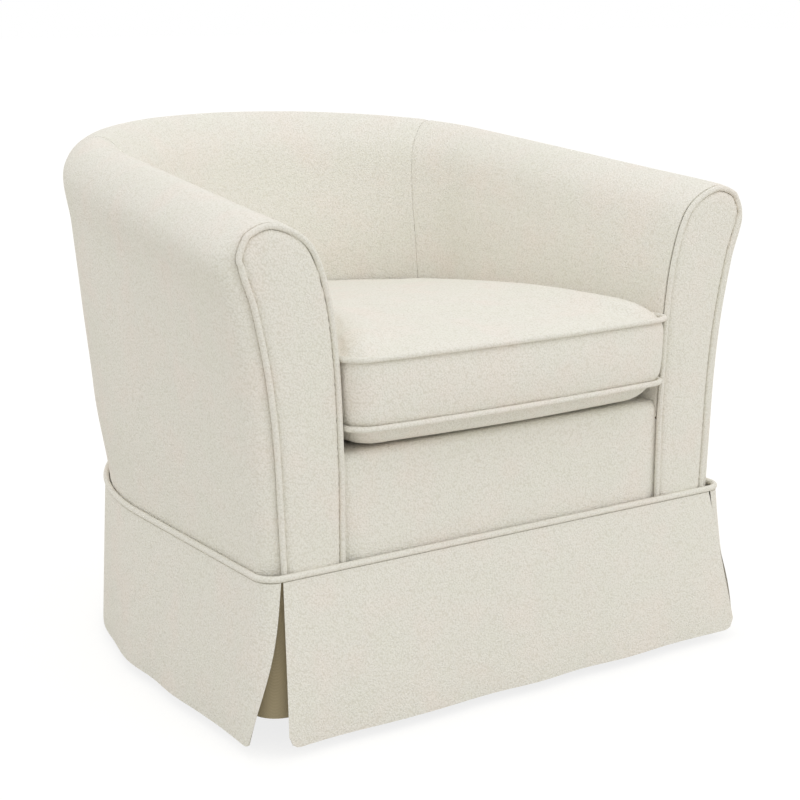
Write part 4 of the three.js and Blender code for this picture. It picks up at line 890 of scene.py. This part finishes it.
def pressed_plate(bottom):
    """A pressed plate with slightly eased edges, from its round bore to a square with round corners, the
    superellipse |x|^14 + |y|^14 = 95^14."""
    angle = np.linspace(0, 2 * math.pi, 160, endpoint=False)
    c, s = np.cos(angle)[:, None], np.sin(angle)[:, None]
    reach = PLATE_HALF / (np.abs(c) ** 14 + np.abs(s) ** 14) ** (1 / 14)
    share = np.concatenate([[0, 0.006], np.linspace(0.02, 0.98, 40), [0.994, 1]])
    radius = PLATE_BORE + (reach - PLATE_BORE) * share
    soft = 0.35 * np.array([1, 0.3] + [0] * 40 + [0.3, 1])
    top, low = (stacked(radius * c, radius * s, z) for z in (bottom + PLATE_THICKNESS - soft, bottom + soft))
    return ring_form("plate", np.concatenate([top, low[:, ::-1]], 1))


def hex_bolt(x, y):
    """A bolt through the upper plate: a hexagonal head with its corners eased, and a threaded shank whose
    radius is 4 - 0.35 (1 + cos(2 pi z / 1.25)) / 2."""
    head = turned("head", [(0, 83.9), (5.6, 83.9), (7, 84.8), (7, 88.7), (0, 88.7)], (x, y), 6)
    z = np.linspace(91, 113, 140)
    thread = 4 - 0.35 * (1 + np.cos(2 * math.pi * z / 1.25)) / 2
    shank = [(0, 88.5), (4, 88.5), (4, 91), *stacked(thread, z)[1:], (3, 113.4), (0, 113.4)]
    return [head, turned("shank", shank, (x, y), 16)]


whole_turn = np.linspace(0, 2 * math.pi, 28, endpoint=False)
floor_ring = turned("floor_ring", circle(RING_TUBE, whole_turn) + (RING_RADIUS, RING_Z))

glides = {}
glide = [(0, 0), (12, 0), (14, 0.6), (15, 2), (15, 4.6), (14.2, 5.6), (13, GLIDE_HEIGHT), (0, GLIDE_HEIGHT)]
for i, side in enumerate(("right", "rear", "left", "front")):
    glides[f"base_glide_{side}"] = turned(f"glide_{side}", glide, circle(RING_RADIUS, math.pi * i / 2), 40)

hub = turned("hub", rounded_box(24, 100, HUB_LOW, HUB_LOW + SPIDER_THICKNESS, 1.2))
spider = joined("spider", [hub] + [spider_arm(i) for i in range(4)])
lower_plate = joined("turntable_lower", [
    pressed_plate(LOWER_PLATE),
    turned("curb", rounded_box(62, 65, LOWER_PLATE + 2, LOWER_PLATE + PLATE_THICKNESS + CURB_HEIGHT, 0.5)),
])
upper_parts = [
    pressed_plate(UPPER_PLATE),
    turned("curb", rounded_box(75, 78, UPPER_PLATE - CURB_HEIGHT, UPPER_PLATE + 0.5, 0.5)),
]
for x in (75, -75):
    for y in (70, -70):
        upper_parts += hex_bolt(x, y)
upper_plate = joined("turntable_upper", upper_parts)

ball_parts = [turned("cage", rounded_box(67.5, 72.5, BALL_Z - 0.6, BALL_Z + 0.6, 0.2, 2))]
half_ball = circle(BALL_RADIUS, np.linspace(-math.pi / 2, math.pi / 2, 15)) + (0, BALL_Z)
ball_parts += [turned("ball", half_ball, circle(TRACK_RADIUS, 2 * math.pi * i / 12), 24) for i in range(12)]
balls = joined("turntable_balls", ball_parts)

# The zip's coil: two spirals of 110 turns whose loops lie between each other

coil_parts = []
t = np.linspace(0, 1, 1400)
for side, shift in ((-1, math.pi), (1, 0)):
    line = looked_up(t, np.linspace(0, 1, len(zip_line)), zip_line)
    wave = 2 * math.pi * ZIP_TURNS * t + shift
    line[:, 1] += 0.9 + 0.5 * np.sin(wave)
    line[:, 2] += side * 1.1 + 1.1 * np.cos(wave)
    coil_parts.append(tube(f"coil_{side}", line, 0.5, 5))
zip_coil = joined("zip_coil", coil_parts)

# Colours and materials. A pattern's Scale counts its cells to the metre: 240 stands for cells of 4.2 mm.


def colour(code):
    """An sRGB hex colour as linear RGBA: c / 12.92 below 0.04045, else ((c + 0.055) / 1.055)^2.4."""
    parts = [int(code[i:i + 2], 16) / 255 for i in (1, 3, 5)]
    return tuple([c / 12.92 if c <= 0.04045 else ((c + 0.055) / 1.055) ** 2.4 for c in parts] + [1.0])


def node(tree, kind, inputs=None, stops=(), **settings):
    """Adds one shader node with its settings and the (place, hex) stops of its colours, and sets or links its
    inputs; a node given as an input is linked by its first output."""
    made = tree.nodes.new("ShaderNode" + kind)
    for key, value in settings.items():
        setattr(made, key, value)
    for i, (place, code) in enumerate(stops):
        row = made.color_ramp.elements
        element = row[i] if i < len(row) else row.new(place)
        element.position, element.color = place, colour(code)
    for key, value in (inputs or {}).items():
        if isinstance(value, bpy.types.Node):
            value = value.outputs[0]
        if isinstance(value, bpy.types.NodeSocket):
            tree.links.new(value, made.inputs[key])
        else:
            made.inputs[key].default_value = value
    return made


def emptied_tree(owner):
    """The node tree of a material or a world, without its first nodes."""
    owner.use_nodes = True
    owner.node_tree.nodes.clear()
    return owner.node_tree


def material(name, surface, *values):
    """A new material; surface() draws it from the Object coordinates and gives its shader's inputs and the
    height, the depth in mm and the strength of its bump."""
    made = bpy.data.materials.new(name)
    add = functools.partial(node, emptied_tree(made))
    inputs, (height, depth, strength) = surface(add, add("TexCoord").outputs["Object"], *values)
    bump = add("Bump", {"Height": height, "Distance": depth * MM, "Strength": strength})
    add("OutputMaterial", {"Surface": add("BsdfPrincipled", {**inputs, "Normal": bump})})
    return made


def boucle_cloth(add, place, base, shade, light, nub, depth):
    """Woven boucle of looped yarn: rounded nubs 2.4 mm across that stand at uneven heights in clumps of 8 mm,
    with fibres of 0.4 mm and a slow drift of tint, over 60 mm, from one dye lot of yarn to the next. The
    colour follows the height of that relief as painted shade and painted highlight: darker in the hollows
    between the loops, paler on the nubs' tops."""
    warp = add("TexNoise", {"Vector": place, "Scale": 240.0, "Detail": 2.0})
    spread = add("VectorMath", {0: warp.outputs["Color"], 1: (0.5, 0.5, 0.5)}, operation="SUBTRACT")
    bent = add("VectorMath", {0: spread, "Scale": 0.0022}, operation="SCALE")
    moved = add("VectorMath", {0: place, 1: bent}, operation="ADD")
    loops = add("TexVoronoi", {"Vector": moved, "Scale": 1 / (nub * MM), "Randomness": 0.95})
    round_loop = add("MapRange", {"Value": loops, "From Max": 0.95, "To Min": 1.0, "To Max": 0.0},
                     interpolation_type="SMOOTHSTEP")
    clumps = add("TexNoise", {"Vector": place, "Scale": 130.0, "Detail": 3.0, "Roughness": 0.6})
    fibre = add("TexNoise", {"Vector": place, "Scale": 2600.0, "Detail": 2.0})
    tufts = add("Math", {0: round_loop, 1: clumps}, operation="MULTIPLY")
    height = add("Math", {0: fibre, 1: 0.25, 2: tufts}, operation="MULTIPLY_ADD")
    drift = add("TexNoise", {"Vector": place, "Scale": 16.0, "Detail": 2.0})
    # Painted shade in the hollows and painted highlight on the nubs' tops: the colour runs from shade to
    # light with the relief's height
    yarn = add("ValToRGB", {"Fac": height}, [(0.1, shade), (0.34, base), (0.62, light)])
    tint = add("ValToRGB", {"Fac": drift}, [(0.34, "#fcfdfa"), (0.5, "#fdfdfb"), (0.68, "#fffcfa")])
    mixed = add("Mix", {0: 1.0, 6: yarn, 7: tint}, data_type="RGBA", blend_type="MULTIPLY")
    return {
        "Base Color": mixed.outputs[2],
        "Roughness": 0.94,
        "Specular IOR Level": 0.2,
        "Sheen Weight": 0.18,
        "Sheen Roughness": 0.5,
        "Sheen Tint": colour("#fff6ea"),
    }, (height, depth, 0.9)


def woven_cloth(add, place, dark, light, pitch):
    """Plain woven cloth: two crossed sets of threads, raised where one passes over the other. Their pitch in
    mm is about twice the real one, so that they show."""
    waves = []
    for turn_by in (0.6, 2.17):
        threads = add("Mapping", {"Vector": place, "Rotation": (0.5, 0.3, turn_by)})
        waves.append(add("TexWave", {
            "Vector": threads, "Scale": 1 / (pitch * MM) / 6.28 * 2, "Distortion": 0.4,
            "Detail": 2.0, "Detail Scale": 4.0}).outputs["Fac"])
    height = add("Math", {0: waves[0], 1: waves[1]}, operation="MULTIPLY")
    return {
        "Base Color": add("ValToRGB", {"Fac": height}, [(0.0, dark), (0.9, light)]),
        "Roughness": 0.92,
        "Sheen Weight": 0.15,
    }, (height, 0.2, 0.6)


def pressed_cloth(add, place, dark, light):
    """Nonwoven polypropylene: fibres bonded in spots 1.1 mm apart, slightly cloudy over 11 mm."""
    spots = add("TexVoronoi", {"Vector": place, "Scale": 900.0}, feature="SMOOTH_F1")
    cloud = add("TexNoise", {"Vector": place, "Scale": 90.0, "Detail": 5.0})
    height = add("Math", {0: spots, 1: cloud}, operation="MULTIPLY")
    return {
        "Base Color": add("ValToRGB", {"Fac": cloud}, [(0.3, dark), (0.7, light)]),
        "Roughness": 0.85,
    }, (height, 0.15, 0.5)


def open_foam(add, place):
    """Polyurethane foam: small open cells, drawn 1.4 mm wide so that they show, pale yellow, and a little
    browner over 140 mm where air has aged it."""
    cells = add("TexVoronoi", {"Vector": place, "Scale": 700.0})
    age = add("TexNoise", {"Vector": place, "Scale": 7.0, "Detail": 3.0})
    return {
        "Base Color": add("ValToRGB", {"Fac": age}, [(0.3, "#e3d9b4"), (0.7, "#d6c797")]),
        "Roughness": 0.95,
        "Subsurface Weight": 0.05,
    }, (cells, 0.6, 0.8)


def layered_wood(add, place, ply):
    """Birch plywood where ply is a veneer's thickness in mm: its faces carry stretched grain, 3 mm wide and
    45 mm long, and its edges show the crossed veneers; solid beech where ply is 0: the same straight grain.
    Short brown flecks lie along it, 2 mm wide and 17 mm long."""
    grain_place = add("Mapping", {"Vector": place, "Scale": (1.0, 14.0, 14.0)})
    grain = add("TexNoise", {"Vector": grain_place, "Scale": 22.0, "Detail": 8.0, "Roughness": 0.65,
                             "Distortion": 0.3})
    fleck_place = add("Mapping", {"Vector": place, "Scale": (1.0, 9.0, 9.0)})
    flecks = add("TexVoronoi", {"Vector": fleck_place, "Scale": 60.0})
    tone = add("ValToRGB", {"Fac": grain}, [(0.3, "#a67843"), (0.52, "#c49a63"), (0.72, "#d6b27c")])
    speck = add("MapRange", {"Value": flecks, "To Min": 0.86, "To Max": 1.04})
    mixed = add("Mix", {0: 1.0, 6: tone, 7: speck}, data_type="RGBA", blend_type="MULTIPLY").outputs[2]
    if ply:
        height = add("SeparateXYZ", {"Vector": place}).outputs["Z"]
        layer = add("Math", {0: height, 1: 2 * ply * MM}, operation="MODULO")
        odd = add("Math", {0: layer, 1: ply * MM}, operation="GREATER_THAN")
        up = add("SeparateXYZ", {"Vector": add("NewGeometry").outputs["Normal"]}).outputs["Z"]
        flat = add("Math", {0: up}, operation="ABSOLUTE")
        edge = add("Math", {0: flat, 1: 0.7}, operation="LESS_THAN")
        dark = add("Math", {0: edge, 1: odd}, operation="MULTIPLY")
        mixed = add("Mix", {0: dark, 6: mixed, 7: colour("#8a5f35")}, data_type="RGBA").outputs[2]
    return {
        "Base Color": mixed,
        "Roughness": add("MapRange", {"Value": grain, "To Min": 0.55, "To Max": 0.75}),
    }, (grain, 0.3, 0.35)


def bare_steel(add, place, dark, light, smooth, rough, spangle):
    """Steel with a thin plating or oil film: pale crystals, so many to the metre as the spangle says, duller
    in patches of 17 mm, with scratches drawn 1.1 mm apart so that they show."""
    crystal = add("TexVoronoi", {"Vector": place, "Scale": spangle})
    stain = add("TexNoise", {"Vector": place, "Scale": 60.0, "Detail": 6.0, "Roughness": 0.65})
    mixed = add("Math", {0: crystal.outputs["Color"], 1: stain}, operation="MULTIPLY")
    scratch = add("TexNoise", {"Vector": place, "Scale": 900.0, "Detail": 3.0})
    return {
        "Base Color": add("ValToRGB", {"Fac": mixed}, [(0.0, dark), (0.6, light)]),
        "Roughness": add("MapRange", {"Value": stain, "To Min": smooth, "To Max": rough}),
        "Metallic": 1.0,
    }, (scratch, 0.05, 0.3)


def powder_coat(add, place, code, shine):
    """Baked powder paint: an orange-peel skin with bumps of 1.5 mm, a little lighter in patches of 40 mm
    where it has rubbed. Moulded nylon has the same slightly uneven satin skin."""
    peel = add("TexNoise", {"Vector": place, "Scale": 650.0, "Detail": 2.0})
    rubbed = add("TexNoise", {"Vector": place, "Scale": 25.0, "Detail": 6.0, "Roughness": 0.7})
    return {
        "Base Color": add("ValToRGB", {"Fac": rubbed}, [(0.45, code), (0.75, shine)]),
        "Roughness": add("MapRange", {"Value": rubbed, "To Min": 0.38, "To Max": 0.55}),
    }, (peel, 0.12, 0.4)


# The boucle's second and third colours are painted shade in the hollows and painted highlight on the nubs'
# tops
boucle = material("cream_boucle_woven", boucle_cloth, "#f0ede5", "#e3dfd4", "#f5f2eb", 2.4, 1.2)
# Olive colours that are painted shade: the pleats' underlays stand for the cream cloth in the pleats' shadow
lining = material("olive_painted_shade_woven", woven_cloth, "#b3a586", "#bdb08e", 0.8)
black_cloth = material("black_dust_cloth_bonded", pressed_cloth, "#151515", "#2b2b2a")
tape_cloth = material("zip_tape_woven", woven_cloth, "#cfc8b8", "#e6e0d3", 0.6)
coil_nylon = material("zip_coil_nylon", powder_coat, "#d8d2c4", "#e8e3d8")
foam = material("seat_foam_cut", open_foam)
plywood = material("birch_plywood_sawn", layered_wood, 1.5)
hardwood = material("beech_planed", layered_wood, 0)
spring_steel = material("spring_steel_drawn", bare_steel, "#3c3f44", "#6c7076", 0.32, 0.5, 400.0)
zinc_steel = material("zinc_plated_steel_pressed", bare_steel, "#7f8489", "#b4b8bb", 0.28, 0.45, 160.0)
black_steel = material("black_powder_coated_steel", powder_coat, "#17181a", "#2b2c2e")
nylon = material("black_nylon_moulded", powder_coat, "#1c1c1d", "#303031")

# Each piece rides on its body, takes one material, and replaces its node


def painted(obj, paint):
    """Gives an object its one material."""
    obj.data.materials.clear()
    obj.data.materials.append(paint)


def finished(obj, body, paint):
    """Finishes a piece on its body; its edges past 40 degrees stay sharp."""
    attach(obj, body)
    painted(obj, paint)
    obj.data.set_sharp_from_angle(angle=math.radians(40))


for body, slot, paint, pieces in (
    ("chair", "boucle", boucle, {**covers, **fronts, **skirts, "front_border_cover": border,
                                 "deck_cloth": deck_cloth, **welts}),
    ("seat_cushion", "boucle", boucle, {**cushion_welts, "seat_cushion": cushion}),
    ("chair", "lining", lining, underlays),
    ("chair", "foam", foam, pads),
    ("chair", "black_cloth", black_cloth, {"dust_cover": dust_cloth}),
    ("chair", "spring_steel", spring_steel, springs),
    ("seat_cushion", "zip_tape", tape_cloth, {"seat_cushion_zip": zip_strip}),
    ("base", "black_steel", black_steel, {"base_ring": floor_ring, "base_spider": spider}),
    ("base", "nylon", nylon, glides),
    ("base", "zinc_steel", zinc_steel, {"swivel_lower_plate": lower_plate, "swivel_ball_ring": balls}),
    ("chair", "zinc_steel", zinc_steel, {"swivel_upper_plate": upper_plate}),
):
    for name, obj in pieces.items():
        finished(obj, body, paint)
        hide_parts(name)
finished(zip_coil, "seat_cushion", coil_nylon)

boards = ["bottom_ring", "front_board", "top_rail", "seat_ring"]
boards += ["arm_front_board_right", "arm_front_board_left"]
timbers = [f"post_{place}_{side}" for place in ("arm", "corner", "back") for side in ("right", "left")]
timbers += ["batten_rear", "batten_front"]
for paint, names in ((plywood, boards), (hardwood, timbers)):
    for name in names:
        painted(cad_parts[name], paint)

# Floor, light and camera

FLOOR_HALF = 30_000
FOCAL_PIXELS, PICTURE_PIXELS, SENSOR_WIDTH = 1723, 800, 36
CAMERA_PITCH, CAMERA_AZIMUTH = 13.28, -33.9


def softbox(name, place, aim, size, power):
    """A square soft light, aimed from its place at a point."""
    lamp = bpy.data.lights.new(name, "AREA")
    lamp.shape, lamp.size, lamp.energy = "SQUARE", size, power
    obj = placed(name, lamp)
    obj.location = place
    obj.rotation_euler = (mathutils.Vector(aim) - mathutils.Vector(place)).to_track_quat("-Z", "Y").to_euler()


floor_corners = FLOOR_HALF * np.array([(-1, -1, 0), (1, -1, 0), (1, 1, 0), (-1, 1, 0)])
floor = piece_from("floor", floor_corners, [(0, 1, 2, 3)])
floor_paint = bpy.data.materials.new("white_floor")
add = functools.partial(node, emptied_tree(floor_paint))
matte = add("BsdfDiffuse", {"Color": colour("#dbd9d3")})
glow = add("Emission", {"Color": (1, 1, 1, 1), "Strength": 1.23})
seen = add("Math", {0: add("LightPath").outputs["Is Camera Ray"], 1: 0.66}, operation="MULTIPLY")
add("OutputMaterial", {"Surface": add("MixShader", {0: seen, 1: matte, 2: glow})})
painted(floor, floor_paint)

world = bpy.data.worlds.new("studio")
bpy.context.scene.world = world
add = functools.partial(node, emptied_tree(world))
ray = add("LightPath").outputs
seen = add("Math", {0: ray["Is Camera Ray"], 1: ray["Is Glossy Ray"]}, operation="MAXIMUM")
strength = add("MapRange", {"Value": seen, "To Min": 0.935, "To Max": 1.0})
add("OutputWorld", {"Surface": add("Background", {"Color": (1, 1, 1, 1), "Strength": strength})})

softbox("key", (1.6, -3.0, 3.2), (0, 0, 0.35), 2.6, 19)
softbox("top", (0.2, 0.3, 3.8), (0, 0, 0.3), 3.0, 9)

camera = placed("camera", bpy.data.cameras.new("camera"))
camera.data.sensor_width = SENSOR_WIDTH
camera.data.lens = FOCAL_PIXELS / PICTURE_PIXELS * SENSOR_WIDTH
camera.location = (-1.2523, -1.9855, 0.8539)
camera.rotation_euler = (math.radians(90 - CAMERA_PITCH), 0, math.radians(CAMERA_AZIMUTH))
bpy.context.scene.camera = camera
bpy.context.scene.view_settings.view_transform = "Standard"
